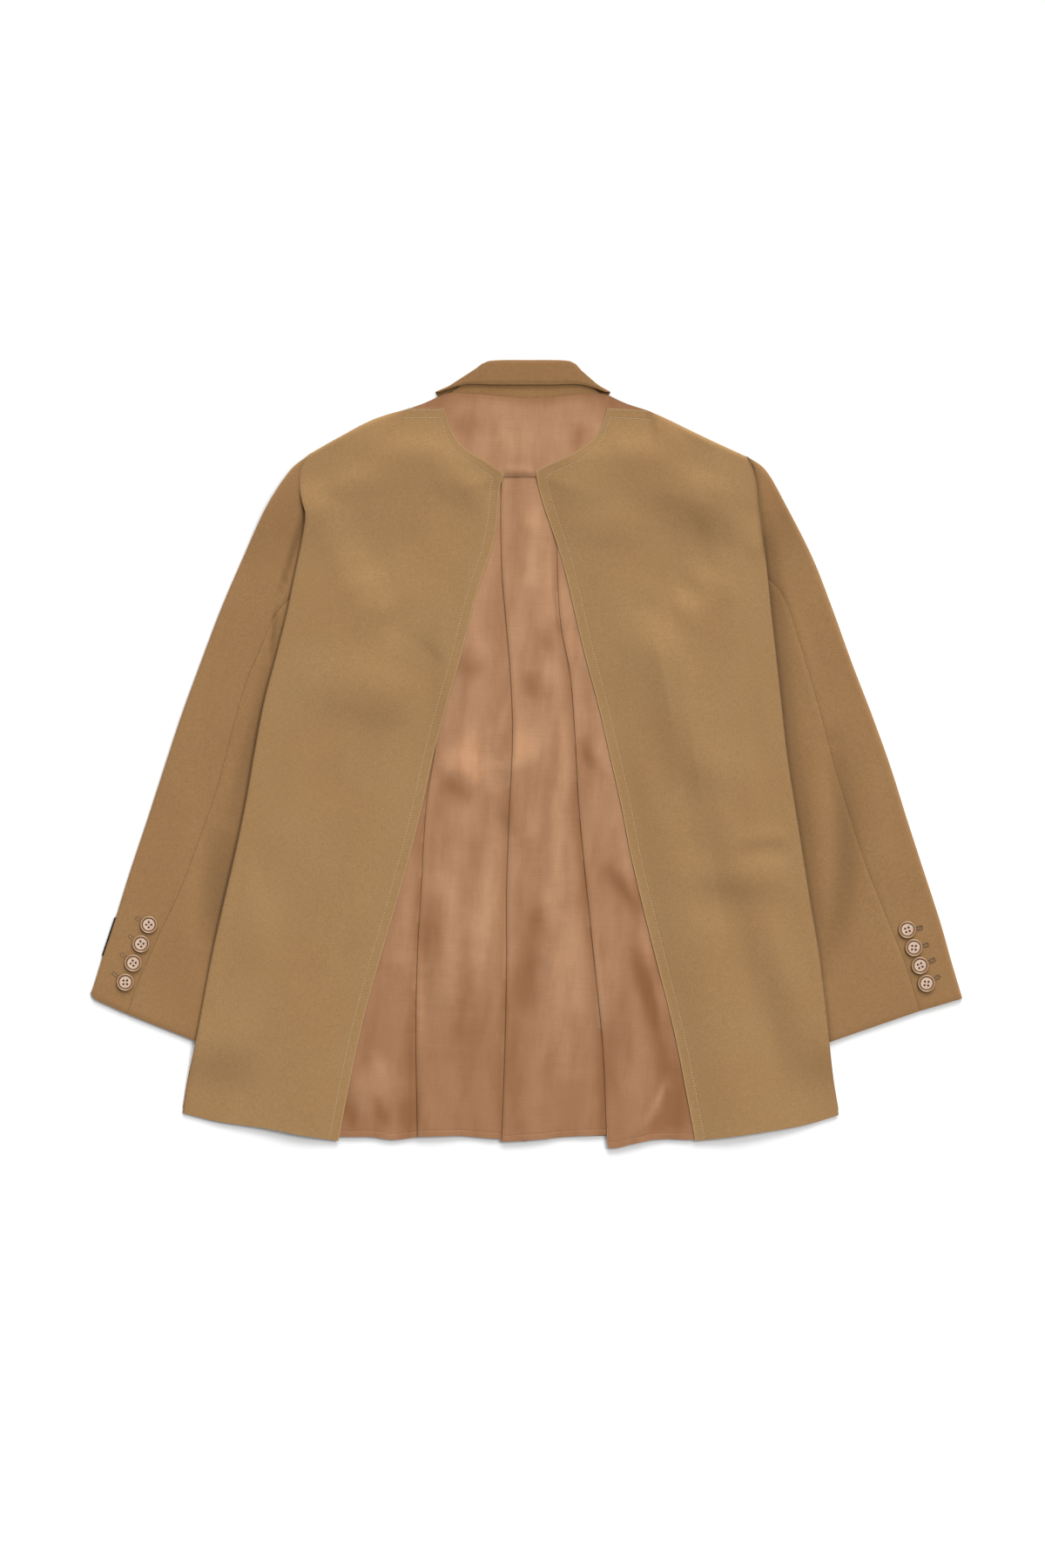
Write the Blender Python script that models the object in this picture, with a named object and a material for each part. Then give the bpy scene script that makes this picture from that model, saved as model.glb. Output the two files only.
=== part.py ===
"""A tailored blazer laid flat with its back up, one closed cloth wall for each piece a tailor would cut.

The wool back is cut in two panels that fall open over a pleated satin lining. The fronts lie underneath, edge
to edge, with their lapels folded out below them. Each sleeve is a pressed tube that runs in under the body.

Lengths in this file are millimetres and become metres when a mesh is made. +X is the wearer's right, +Y
points to the collar, and Z is up from the surface that the blazer lies on. The tables hold both halves: their
distances run outwards from the centre line, so the left half is mirrored by its side's sign.
"""

from collections import namedtuple
from math import cos, pi, radians, sin

import bmesh
import bpy
import numpy as np

MM = 0.001

WOOL = 1.2
SATIN = 1.0
SEAM_GAP = 0.5
ARMHOLE_GAP = 1.3
NECK_GAP = 0.8

Side = namedtuple("Side", "name sign")
LEFT = Side("left", -1)
RIGHT = Side("right", 1)
SIDES = (LEFT, RIGHT)


def table(columns, *rows):
    """A table with named columns, one row for each section, fold or corner."""
    return {name: np.array([row[k] for row in rows], float) for k, name in enumerate(columns.split())}


# Outline of the body, shoulder point to hem: down the armhole seam first, then the fold at the side.
BODY_EDGE = table(
    "y left right",
    (297, 216.0, 219.0),
    (287, 223.0, 224.5),
    (272, 225.0, 229.0),
    (251, 222.5, 231.0),
    (237, 219.0, 232.5),
    (208, 223.5, 236.0),
    (180, 229.5, 239.5),
    (145, 236.5, 243.0),
    (100, 247.5, 248.0),
    (50, 260.5, 253.5),
    (0, 270.0, 259.0),
    (-70, 282.5, 270.0),
    (-140, 298.5, 281.0),
    (-210, 314.0, 292.5),
    (-285, 328.0, 301.0),
    (-325, 336.0, 305.5),
    (-357, 341.0, 310.5),
)

# Raw inner edge of each back panel, from its tip at the neck down to the hem.
BACK_OPENING = table(
    "y left right",
    (281, 21.0, 9.5),
    (265, 26.5, 12.5),
    (250, 28.0, 16.5),
    (215, 31.0, 28.5),
    (190, 39.0, 36.5),
    (149, 52.0, 46.5),
    (111, 60.5, 55.0),
    (76, 72.0, 65.0),
    (35, 82.0, 75.0),
    (-20, 97.0, 87.5),
    (-70, 107.0, 98.5),
    (-120, 121.0, 108.0),
    (-170, 135.0, 121.0),
    (-220, 150.0, 133.0),
    (-270, 163.0, 146.0),
    (-325, 175.0, 157.0),
    (-386, 186.5, 168.5),
)

# Top outline of each back panel in three runs: the shoulder fold, the short cut edge, and the neckline.
SHOULDER = table(
    "left_x left_y right_x right_y",
    (216, 297, 219, 295),
    (182.5, 316, 175.6, 315),
    (148, 333.5, 140, 332.5),
    (119, 342, 122, 340.5),
)
SHORT_EDGE = table(
    "left_x left_y right_x right_y",
    (119, 342, 122, 340.5),
    (81, 342, 81, 343),
)
NECKLINE = table(
    "left_x left_y right_x right_y",
    (81, 342, 81, 343),
    (76, 325, 76, 327),
    (68, 310.5, 65, 310.5),
    (54, 298, 49, 300),
    (36, 288, 19, 285),
    (21.5, 278, 9.5, 281),
)
NECK_POINT = table(
    "left_x left_y right_x right_y",
    (119, 342, 122, 340),
    (90, 352, 88, 352),
)

# Bottom edge of each back panel, from the side to the opening.
BACK_HEM = table(
    "left_x left_y right_x right_y",
    (342, -356, 312, -358),
    (305, -365, 274, -369),
    (259, -371.5, 235, -375.5),
    (220, -379, 204, -380),
    (186, -384, 168, -384),
)
FRONT_HEM_RISE = 5

# Where the hidden end and the inner fold of each sleeve run under the body.
SLEEVE_INNER = table(
    "y left right",
    (260, 223.5, 230.5),
    (237, 219.0, 232.5),
    (208, 208.0, 236.0),
    (180, 194.0, 222.0),
    (140, 171.0, 186.0),
    (95, 154.0, 154.0),
    (40, 174.0, 172.0),
    (-55, 211.0, 209.0),
    (-165, 252.0, 252.0),
    (-294, 300.0, 301.0),
)
FOLD_TOP_Y = {"left": 237, "right": 208}
ELBOW_SEAM_TOP_Y = {"left": 192, "right": 184}

# Sleeve sections from the armhole to the cuff: the outer fold, the elbow seam, and the inner fold's height.
SLEEVE_LEFT = table(
    "outer_x outer_y elbow_x elbow_y inner_y",
    (216.5, 297.0, 201, 192, 95),
    (234.0, 281.6, 212, 178, 88),
    (257.0, 247.0, 227, 162, 80),
    (281.0, 195.0, 247, 141, 68),
    (302.5, 145.0, 262, 109, 52),
    (323.0, 91.0, 279, 68, 24),
    (342.0, 39.0, 293, 19, -18),
    (359.0, -12.5, 307.5, -36, -72),
    (376.0, -65.0, 326, -89, -120),
    (393.0, -116.0, 343, -134, -168),
    (409.0, -167.0, 366, -183, -215),
    (422.0, -206.0, 385, -226, -258),
    (432.5, -241.5, 396, -258, -296),
)
SLEEVE_RIGHT = table(
    "outer_x outer_y elbow_x elbow_y inner_y",
    (219.5, 295.5, 226, 184, 95),
    (238.0, 281.6, 238, 176, 88),
    (258.0, 247.0, 249, 166, 80),
    (284.5, 195.0, 258, 152, 68),
    (304.0, 145.0, 268, 123, 52),
    (323.5, 91.0, 280, 84, 24),
    (343.5, 39.0, 291, 46, -18),
    (362.0, -12.5, 307, -14, -72),
    (378.5, -65.0, 323, -66, -120),
    (395.0, -116.0, 339, -114, -168),
    (411.5, -167.0, 358, -162, -215),
    (422.5, -206.0, 376.5, -208, -256),
    (433.4, -242.6, 391, -255, -287),
)
SLEEVES = {"left": SLEEVE_LEFT, "right": SLEEVE_RIGHT}

# Front edge and roll line, the same on both fronts: the edges meet at the centre, 4 mm short of it each.
FRONT_EDGE = table(
    "y out",
    (352, 88),
    (285, 71),
    (-60, 4),
    (-380, 4),
)
# Outer edge of what is folded under each front: the collar's end, then the lapel down to its break.
FOLDED_UNDER = table(
    "y out",
    (356, 96),
    (320, 116),
    (285, 135),
    (262, 165),
    (-60, 4),
    (-110, -60),
)
LAPEL_TOP = table("x y", (72, 283), (128, 279), (162, 264))
LAPEL_END_Y = -48

# Neck seam, shared by the yoke lining and the collar stand, from the wearer's left to right.
NECK_SEAM = table("x y", (-77, 358), (-54, 357.5), (-18, 354), (-1, 352.5), (17, 353), (52, 356.5), (74, 358))
YOKE_TOP = table(
    "x y",
    (-122, 337.5),
    (-104, 347),
    (-90, 353),
    (-77, 358),
    (-54, 357.5),
    (-18, 354),
    (-1, 352.5),
    (17, 353),
    (52, 356.5),
    (74, 358),
    (86, 353.5),
    (104, 346),
    (122, 337.5),
)
YOKE_FOLD_Y = 275
YOKE_NARROWING = 0.4

# Knife pleats of the back lining: where each fold lies at a given height.
PLEATS = table(
    "y first second third",
    (284, -78, -24, 32),
    (215, -84, -25, 32),
    (147, -87, -21, 33),
    (96, -88, -16, 43),
    (13, -88, -13, 50),
    (-51, -98.6, -16, 53.5),
    (-139, -104, -19, 62),
    (-215, -108, -19, 70),
    (-300, -109, -21, 78),
    (-378, -107.5, -24, 81),
)
PLEAT_NAMES = ("first", "second", "third")
PLEAT_DEPTH = 25
PLEAT_SLOPE = 17
LINING_TOP_Y = 284
LINING_REACH = table(
    "y out",
    (284, 86),
    (200, 93),
    (100, 93),
    (0, 118),
    (-100, 156),
    (-200, 196),
    (-300, 232),
    (-386, 248),
)
# Lower edge of the lining between the pleats, from left to right.
LINING_HEM = table(
    "x y",
    (-248, -362),
    (-205, -374),
    (-186, -380),
    (-156, -380),
    (-131, -383),
    (-106, -380),
    (-67, -379),
    (-24, -384),
)
LINING_HEM_MIDDLE = table("x y", (-25, -385), (22, -382), (60, -377.5), (110, -377))
LINING_HEM_RIGHT = table(
    "x y", (80, -390.5), (90, -391), (111, -386), (136, -382), (168, -383), (190, -374), (248, -362)
)

# Heights of the stack, and thickness of the sleeves in it.
ARM_THICK = 5.6
CUFF_THICK = 4.4
OVER_SLEEVE = 0.9
SHOULDER_LIFT = 4.0
SIDE_STACK = 3.4
SHOULDER_STACK = 6.0
LOOSE_STACK = 1.2
LAPEL_STEP = 1.9
LINING_LOW = 3.4
PLEAT_LEVEL = 1.3
YOKE_LOW = 3.4
YOKE_OVER_PLEATS = 7.3
# Top of the body's stack over its middle: it is highest where the yoke lies on the pleats.
BACK_TOP = table("y top", (-400, 8.8), (240, 8.8), (268, 10.2), (296, 10.2), (330, 6.3), (360, 6.3))

Ramp = namedtuple("Ramp", "start length")
# Where the heights change: the place where a soft step starts, and how far it takes.
LIFT_OUT = Ramp(110, 80)
LIFT_UP = Ramp(190, 70)
CUFF_TO_ARM = Ramp(-240, 400)
ONTO_SLEEVE = Ramp(-58, 45)
ABOVE_FOLD_TOP = Ramp(0, 38)
ABOVE_CUFF = Ramp(-337, 35)
PAST_LAPEL = Ramp(8, 34)
PAST_OPENING = Ramp(42, 80)
INSIDE_EDGE = Ramp(15, 30)
ABOVE_YOKE_FOLD = Ramp(287, 40)

# Collar stations from the centre back round the neck to the end on the front, the left half's distances.
COLLAR = table(
    "turn roll fold_x fold_y edge_x edge_y height",
    (90, 1.0, 0, 391, 0, 366.5, 13.0),
    (90, 1.0, 24, 391, 30, 366.5, 13.0),
    (90, 1.0, 36, 390.5, 58, 366.5, 12.8),
    (90, 0.9, 42.5, 387.5, 82, 359.5, 12.2),
    (45, 0.7, 44, 389, 85.5, 359.5, 10.4),
    (0, 0.4, 45, 390, 87, 359.5, 6.2),
    (-45, 0.2, 45, 389, 86, 357.5, 2.0),
    (-90, 0.0, 44, 385, 84, 354.5, 0.0),
    (-90, 0.0, 62, 335, 112, 322, 0.0),
    (-90, 0.0, 71, 288, 128, 286, 0.0),
)
COLLAR_SLOPE = 1.6
COLLAR_BOW = 3.0
COLLAR_LEAN = (0.6, 0.8)
COLLAR_FOLD_SHIFT = 3.0
COLLAR_EDGE_SHIFT = -3.0

BUTTON_RADIUS = 8.9
# Cuff buttons, from the top one down. Each is turned by so many degrees.
CUFF_BUTTONS = table(
    "left_x left_y left_turn right_x right_y right_turn",
    (374.5, -169.5, 43, 378.5, -174.5, 18),
    (382.3, -188.6, 52, 385.0, -192.3, -3),
    (390.0, -207.6, 53, 391.2, -210.1, 23),
    (397.8, -226.6, 0, 397.5, -227.8, -6),
)
TAB_TOP_Y = -162
TAB_BOTTOM_Y = -200
TAB_THICK = 1.0

Finish = namedtuple("Finish", "name colour roughness")
WOOL_TAN = Finish("wool_tan", (0.366, 0.219, 0.105), 0.85)
SATIN_TAN = Finish("satin_tan", (0.402, 0.205, 0.112), 0.35)
BUTTON_HORN = Finish("button_horn", (0.56, 0.33, 0.21), 0.3)
TAB_BLACK = Finish("tab_black", (0.012, 0.012, 0.013), 0.7)


# ---------------------------------------------------------------- curves and heights


def along(knots, values, at):
    """A smooth curve through the values, read at the given places; ends are held level beyond the table."""
    if knots[0] > knots[-1]:
        knots, values = knots[::-1], values[::-1]
    secants = np.diff(values) / np.diff(knots)
    before, after = secants[:-1], secants[1:]
    same_way = before * after > 0
    inner = np.where(same_way, 2 * before * after / np.where(same_way, before + after, 1), 0)
    slopes = np.concatenate([secants[:1], inner, secants[-1:]])
    at = np.clip(at, knots[0], knots[-1])
    i = np.clip(np.searchsorted(knots, at) - 1, 0, len(knots) - 2)
    width = knots[i + 1] - knots[i]
    t = (at - knots[i]) / width
    start = (1 + 2 * t) * (1 - t) ** 2 * values[i] + t * (1 - t) ** 2 * width * slopes[i]
    end = t**2 * (3 - 2 * t) * values[i + 1] + t**2 * (t - 1) * width * slopes[i + 1]
    return start + end


def straight(knots, values, at):
    """Straight lines between the table's rows."""
    if knots[0] > knots[-1]:
        knots, values = knots[::-1], values[::-1]
    return np.interp(at, knots, values)


def trace(xs, ys, fractions):
    """Points of a smooth line through the corners given, at fractions of its length."""
    steps = np.hypot(np.diff(xs), np.diff(ys))
    run = np.concatenate([[0], np.cumsum(steps)])
    at = np.asarray(fractions) * run[-1]
    return np.stack([along(run, xs, at), along(run, ys, at)], axis=-1)


def stepped(knots, values, at):
    """Level at each row of the table, with a soft step from one to the next."""
    if knots[0] > knots[-1]:
        knots, values = knots[::-1], values[::-1]
    at = np.clip(at, knots[0], knots[-1])
    i = np.clip(np.searchsorted(knots, at) - 1, 0, len(knots) - 2)
    return values[i] + (values[i + 1] - values[i]) * ease((at - knots[i]) / (knots[i + 1] - knots[i]))


def run_length(xs, ys):
    return float(np.hypot(np.diff(xs), np.diff(ys)).sum())


def ease(t):
    """0 below 0, 1 above 1, and a soft step between."""
    t = np.clip(t, 0.0, 1.0)
    return t * t * (3 - 2 * t)


def climb(ramp, at):
    """0 up to the ramp's start, 1 past its end, and a soft step between."""
    return ease((at - ramp.start) / ramp.length)


def body_edge(side, y):
    return along(BODY_EDGE["y"], BODY_EDGE[side.name], y)


def back_opening(side, y):
    """Inner edge of the back panel: down the opening, and round the neckline above its tip."""
    ys = np.concatenate([NECKLINE[side.name + "_y"][:-1], BACK_OPENING["y"][1:]])
    xs = np.concatenate([NECKLINE[side.name + "_x"][:-1], BACK_OPENING[side.name][1:]])
    return along(ys, xs, y)


def sleeve_inner(side, y):
    return along(SLEEVE_INNER["y"], SLEEVE_INNER[side.name], y)


def shoulder_lift(out, y):
    """The pads and seams of the shoulder hold every layer a little off the surface."""
    return SHOULDER_LIFT * climb(LIFT_OUT, out) * climb(LIFT_UP, y)


def sleeve_thick(y):
    return CUFF_THICK + (ARM_THICK - CUFF_THICK) * climb(CUFF_TO_ARM, y)


def over_sleeve(side, out, y):
    """1 where the body lies over the sleeve, easing to 0 round it."""
    across = climb(ONTO_SLEEVE, out - sleeve_inner(side, y))
    above_fold = climb(ABOVE_FOLD_TOP, y - FOLD_TOP_Y[side.name])
    return across * (1 - above_fold) * climb(ABOVE_CUFF, y)


def ground(side, out, y):
    """Height of what the body lies on."""
    rise = (sleeve_thick(y) + OVER_SLEEVE) * over_sleeve(side, out, y)
    return shoulder_lift(out, y) + rise


def front_low(side, out, y):
    """Underside of the front panel."""
    under = straight(FOLDED_UNDER["y"], FOLDED_UNDER["out"], y)
    return ground(side, out, y) + LAPEL_STEP * (1 - climb(PAST_LAPEL, out - under))


def edge_stack(side, y):
    """Thickness of front and back together at the body's outer edge."""
    above_fold = climb(ABOVE_FOLD_TOP, y - FOLD_TOP_Y[side.name])
    return SIDE_STACK + (SHOULDER_STACK - SIDE_STACK) * above_fold


def back_high(side, out, y):
    """Upper face of the back panel."""
    outward = climb(PAST_OPENING, out - back_opening(side, y))
    centre = ground(side, out, y) + stepped(BACK_TOP["y"], BACK_TOP["top"], y)
    loose = LOOSE_STACK * climb(INSIDE_EDGE, body_edge(side, y) - out)
    outer = front_low(side, out, y) + edge_stack(side, y) + loose
    return centre + (outer - centre) * outward


def yoke_low(y):
    return YOKE_OVER_PLEATS + (YOKE_LOW - YOKE_OVER_PLEATS) * climb(ABOVE_YOKE_FOLD, y)


# ---------------------------------------------------------------- meshes


def material_of(finish):
    material = bpy.data.materials.get(finish.name) or bpy.data.materials.new(finish.name)
    material.use_nodes = True
    shader = material.node_tree.nodes["Principled BSDF"]
    shader.inputs["Base Color"].default_value = (*finish.colour, 1)
    shader.inputs["Roughness"].default_value = finish.roughness
    return material


def add_object(name, mesh, finish, garment):
    mesh.materials.clear()
    mesh.materials.append(material_of(finish))
    piece = bpy.data.objects.new(name, mesh)
    bpy.context.scene.collection.objects.link(piece)
    piece.parent = garment
    return piece


def cloth(name, points, thick, finish, garment, looks_up=True, centred=False):
    """A wall of cloth on a grid of points, rows by columns.

    The grid is the outer face, or the middle one where centred is set. The last column's faces look up or
    down, which settles which way the whole grid faces.
    """
    rows, columns = points.shape[:2]
    first = points[0, -1] - points[0, -2]
    down = points[1, -2] - points[0, -2]
    up = np.cross(down, first)[2] > 0
    number = np.arange(rows * columns).reshape(rows, columns)
    faces = []
    for i in range(rows - 1):
        for j in range(columns - 1):
            quad = [number[i, j], number[i + 1, j], number[i + 1, j + 1], number[i, j + 1]]
            faces.append(quad if up == looks_up else quad[::-1])
    mesh = bpy.data.meshes.new(name)
    mesh.from_pydata((points.reshape(-1, 3) * MM).tolist(), [], faces)
    mesh.shade_smooth()
    piece = add_object(name, mesh, finish, garment)
    wall = piece.modifiers.new("wall", "SOLIDIFY")
    wall.thickness = thick * MM
    wall.offset = 0 if centred else -1
    wall.use_even_offset = not centred
    return piece


# ---------------------------------------------------------------- body panels

EDGE_GAP = 0.5
# Sections of the rounded edge where back and front meet, as angles from level to upright.
EDGE_TURN = np.array([8, 30, 58, 90])
SHOULDER_ROLL = 4.0
FLAT_INSETS = [14, 28, 42]
SIDE_INSETS = np.concatenate([SIDE_STACK / 2 * (1 - np.cos(np.radians(EDGE_TURN))), FLAT_INSETS])
SHOULDER_ROWS = BODY_EDGE["y"][0] - SHOULDER_ROLL * (1 - np.cos(np.radians(EDGE_TURN)))
ARMHOLE_ROWS = np.array([282, 267, 252, 237, 208])
SIDE_ROWS = np.array([190, 165, 140, 100, 50, 0, -50, -100, -150, -200, -250, -290, -325, -357])
BODY_ROWS = np.concatenate([SHOULDER_ROWS, ARMHOLE_ROWS, SIDE_ROWS])
LEVEL_TOP_Y = 190
LEVEL_END_Y = -290
NECKLINE_SHARES = [0.22, 0.45, 0.72, 1]
LAPEL_SHARES = np.array([0, 0.3, 0.6, 0.82, 1])
LAPEL_ROWS = 7
LAPEL_BELLY = 6.0


def body_plan(side, top_line, inner_top_y, inner, hem, inner_end_y):
    """Plan of a panel: level rows from the side edge to the inner edge, bent to its top line and its hem."""
    count = len(top_line)
    insets = len(SIDE_INSETS)
    shares = np.linspace(0, 1, count - insets + 1)[1:]

    def level_row(side_y, inner_y):
        out_x = body_edge(side, side_y)
        in_x = inner(inner_y)
        width = out_x - in_x
        depth = np.concatenate([SIDE_INSETS, SIDE_INSETS[-1] + shares * (width - SIDE_INSETS[-1])])
        share = depth / width
        return np.stack([out_x - depth, side_y + (inner_y - side_y) * share], axis=-1)

    top_y, end_y = BODY_ROWS[0], BODY_ROWS[-1]
    first = level_row(top_y, inner_top_y)
    last = level_row(end_y, inner_end_y)
    bend_top = top_line - first
    bend_end = np.stack([np.zeros(count), hem(last[:, 0]) - last[:, 1]], axis=-1)
    rows = []
    for y in BODY_ROWS:
        inner_y = y
        if y > LEVEL_TOP_Y:
            inner_y = LEVEL_TOP_Y + (y - LEVEL_TOP_Y) * (inner_top_y - LEVEL_TOP_Y) / (top_y - LEVEL_TOP_Y)
        if y < LEVEL_END_Y:
            inner_y = LEVEL_END_Y + (y - LEVEL_END_Y) * (inner_end_y - LEVEL_END_Y) / (end_y - LEVEL_END_Y)
        at_top = max(0.0, (y - LEVEL_TOP_Y) / (top_y - LEVEL_TOP_Y))
        at_end = max(0.0, (LEVEL_END_Y - y) / (LEVEL_END_Y - end_y))
        rows.append(level_row(y, inner_y) + at_top * bend_top + at_end * bend_end)
    return np.array(rows)


def rolled(side, plan, heights, shoulder, way):
    """Heights of a panel whose edge turns to the middle of the stack, down its side and along its shoulder.

    The turn stops at the shoulder line's last point. The way is 1 for a back panel and -1 for a front.
    """
    out, y = plan[..., 0], plan[..., 1]
    middle = (back_high(side, out, y) + front_low(side, out, y)) / 2
    half = np.abs(heights - middle) - EDGE_GAP
    fold = 1.0 * (BODY_ROWS < FOLD_TOP_Y[side.name])
    drop = 1 - np.sin(np.radians(EDGE_TURN))
    turns = len(EDGE_TURN)
    rolls = 1.0 * (np.arange(heights.shape[1]) < len(shoulder) - 1)
    share = np.zeros(heights.shape)
    share[:, :turns] = fold[:, None] * drop[None, :]
    share[:turns, :] = np.maximum(share[:turns, :], drop[:, None] * rolls[None, :])
    return heights - way * half * share


def shoulder_run(side, fractions):
    """Points along the shoulder line from its point: the side insets, then shares of what is left."""
    xs = SHOULDER[side.name + "_x"]
    ys = SHOULDER[side.name + "_y"]
    length = run_length(xs, ys)
    insets = SIDE_INSETS / length
    rest = insets[-1] + (1 - insets[-1]) * np.asarray(fractions)
    return trace(xs, ys, np.concatenate([insets, rest]))


def back_panel(side, garment):
    shoulder = shoulder_run(side, [1 / 3, 2 / 3, 1])
    short_end = [[SHORT_EDGE[side.name + "_x"][-1], SHORT_EDGE[side.name + "_y"][-1]]]
    neckline = trace(NECKLINE[side.name + "_x"], NECKLINE[side.name + "_y"], NECKLINE_SHARES)
    top_line = np.concatenate([shoulder, short_end, neckline])
    hem_x, hem_y = BACK_HEM[side.name + "_x"], BACK_HEM[side.name + "_y"]
    plan = body_plan(
        side,
        top_line,
        top_line[-1, 1],
        lambda y: along(BACK_OPENING["y"], BACK_OPENING[side.name], y),
        lambda x: along(hem_x, hem_y, x),
        hem_y[-1],
    )
    high = back_high(side, plan[..., 0], plan[..., 1])
    high = rolled(side, plan, high, shoulder, 1)
    points = np.stack([side.sign * plan[..., 0], plan[..., 1], high], axis=-1)
    return cloth(f"back_{side.name}", points, WOOL, WOOL_TAN, garment)


def front_panel(side, garment):
    shoulder = shoulder_run(side, [0.25, 0.5, 0.75, 1])
    neck = trace(NECK_POINT[side.name + "_x"], NECK_POINT[side.name + "_y"], [0.5, 1])
    top_line = np.concatenate([shoulder, neck])
    hem_x, hem_y = BACK_HEM[side.name + "_x"], BACK_HEM[side.name + "_y"] + FRONT_HEM_RISE
    plan = body_plan(
        side,
        top_line,
        top_line[-1, 1],
        lambda y: straight(FRONT_EDGE["y"], FRONT_EDGE["out"], y),
        lambda x: straight(hem_x, hem_y, x),
        hem_y[-1],
    )
    low = front_low(side, plan[..., 0], plan[..., 1])
    low = rolled(side, plan, low, shoulder, -1)
    points = np.stack([side.sign * plan[..., 0], plan[..., 1], low], axis=-1)
    return cloth(f"front_{side.name}", points, WOOL, WOOL_TAN, garment, looks_up=False)


def lapel(side, garment):
    """The lapel lies on the surface, folded out under its front along the roll line."""
    top = trace(LAPEL_TOP["x"], LAPEL_TOP["y"], LAPEL_SHARES)
    end_in = straight(FRONT_EDGE["y"], FRONT_EDGE["out"], LAPEL_END_Y)
    end_out = straight(FOLDED_UNDER["y"], FOLDED_UNDER["out"], LAPEL_END_Y)
    end_x = end_in + (end_out - end_in) * LAPEL_SHARES
    end = np.stack([end_x, np.full(len(end_x), LAPEL_END_Y)], axis=-1)
    rows = []
    for share in np.linspace(0, 1, LAPEL_ROWS):
        row = top + (end - top) * share
        row[:, 0] += LAPEL_BELLY * sin(pi * share) * LAPEL_SHARES
        rows.append(row)
    plan = np.array(rows)
    points = np.concatenate([plan * [side.sign, 1], np.zeros(plan.shape[:2] + (1,))], axis=-1)
    return cloth(f"lapel_{side.name}", points, WOOL, WOOL_TAN, garment, looks_up=False)


# ---------------------------------------------------------------- linings


YOKE_COLUMNS = 17
YOKE_ROW_SHARES = (0, 0.15, 0.3, 0.45, 0.6, 0.75, 0.88, 1)


def yoke_lining(garment):
    top = trace(YOKE_TOP["x"], YOKE_TOP["y"], np.linspace(0, 1, YOKE_COLUMNS))
    rows = []
    for share in YOKE_ROW_SHARES:
        y = top[:, 1] + (YOKE_FOLD_Y - top[:, 1]) * share
        x = top[:, 0] * (1 - YOKE_NARROWING * share)
        rows.append(np.stack([x, y, yoke_low(y) + SATIN + shoulder_lift(np.abs(x), y)], axis=-1))
    return cloth("yoke_lining", np.array(rows), SATIN, SATIN_TAN, garment)


def half_turn(centre_x, centre_z, start, way):
    """Points of a half circle in the lining's section, from the start angle in degrees."""
    radius = PLEAT_LEVEL / 2
    angles = [radians(start + way * step) for step in HALF_TURN]
    return [(centre_x + radius * cos(angle), centre_z + radius * sin(angle)) for angle in angles]


# Columns of the section that one pleat takes, and the last of them on its visible fold.
PLEAT_COLUMNS = 11
FOLD_COLUMN = 7
HALF_TURN = (0, 60, 120, 180)
PLEAT_CLEAR = 3.0
LINING_END = 4.0
LINING_ROWS = (LINING_TOP_Y, 235, 180, 130, 80, 20, -50, -130, -210, -290, -380)


def lining_section(y):
    """Section through the lining at one height: flat cloth, and for each pleat three layers and a slope."""
    low = LINING_LOW + SATIN / 2
    high = low + 2 * PLEAT_LEVEL
    half = PLEAT_LEVEL / 2
    reach = along(LINING_REACH["y"], LINING_REACH["out"], y)
    section = [(-reach, low)]
    for name in PLEAT_NAMES:
        fold = along(PLEATS["y"], PLEATS[name], y)
        deep = fold + PLEAT_DEPTH
        section += half_turn(deep - half, low + half, -90, 1)
        section += half_turn(fold + half, low + half + PLEAT_LEVEL, -90, -1)
        brow = deep + PLEAT_CLEAR
        section += [(brow, high), (brow + PLEAT_SLOPE / 2, (low + high) / 2), (brow + PLEAT_SLOPE, low)]
    section.append((max(reach, section[-1][0] + LINING_END), low))
    return section


def lining_hem(column, x):
    """Lower edge of the lining: the cloth after the last pleat hangs lower than what it covers."""
    if column > 2 * PLEAT_COLUMNS + FOLD_COLUMN:
        hem = LINING_HEM_RIGHT
    elif column > PLEAT_COLUMNS + FOLD_COLUMN:
        hem = LINING_HEM_MIDDLE
    else:
        hem = LINING_HEM
    return float(along(hem["x"], hem["y"], x))


def pleat_lining(garment):
    rows = []
    for y in LINING_ROWS:
        share = (LINING_TOP_Y - y) / (LINING_TOP_Y - LINING_ROWS[-1])
        row = []
        for column, (x, z) in enumerate(lining_section(y)):
            bottom = lining_hem(column, x)
            row.append((x, LINING_TOP_Y + (bottom - LINING_TOP_Y) * share, z))
        rows.append(row)
    return cloth("pleat_lining", np.array(rows), SATIN, SATIN_TAN, garment, centred=True)


# ---------------------------------------------------------------- collar

# Section of the fall from where it meets the stand, over its fold, to its free edge: share, inset and drop.
FALL_SECTION = table(
    "share inset drop level_inset",
    (0, 1.4, 4.6, 0.0),
    (0, 0.0, 2.9, 0.8),
    (0, 0.6, 1.2, 1.6),
    (0, 2.6, 0.2, 2.6),
    (0.36, 0, 0, 0),
    (0.68, 0, 0, 0),
    (1, 0, 0, 0),
)


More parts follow.
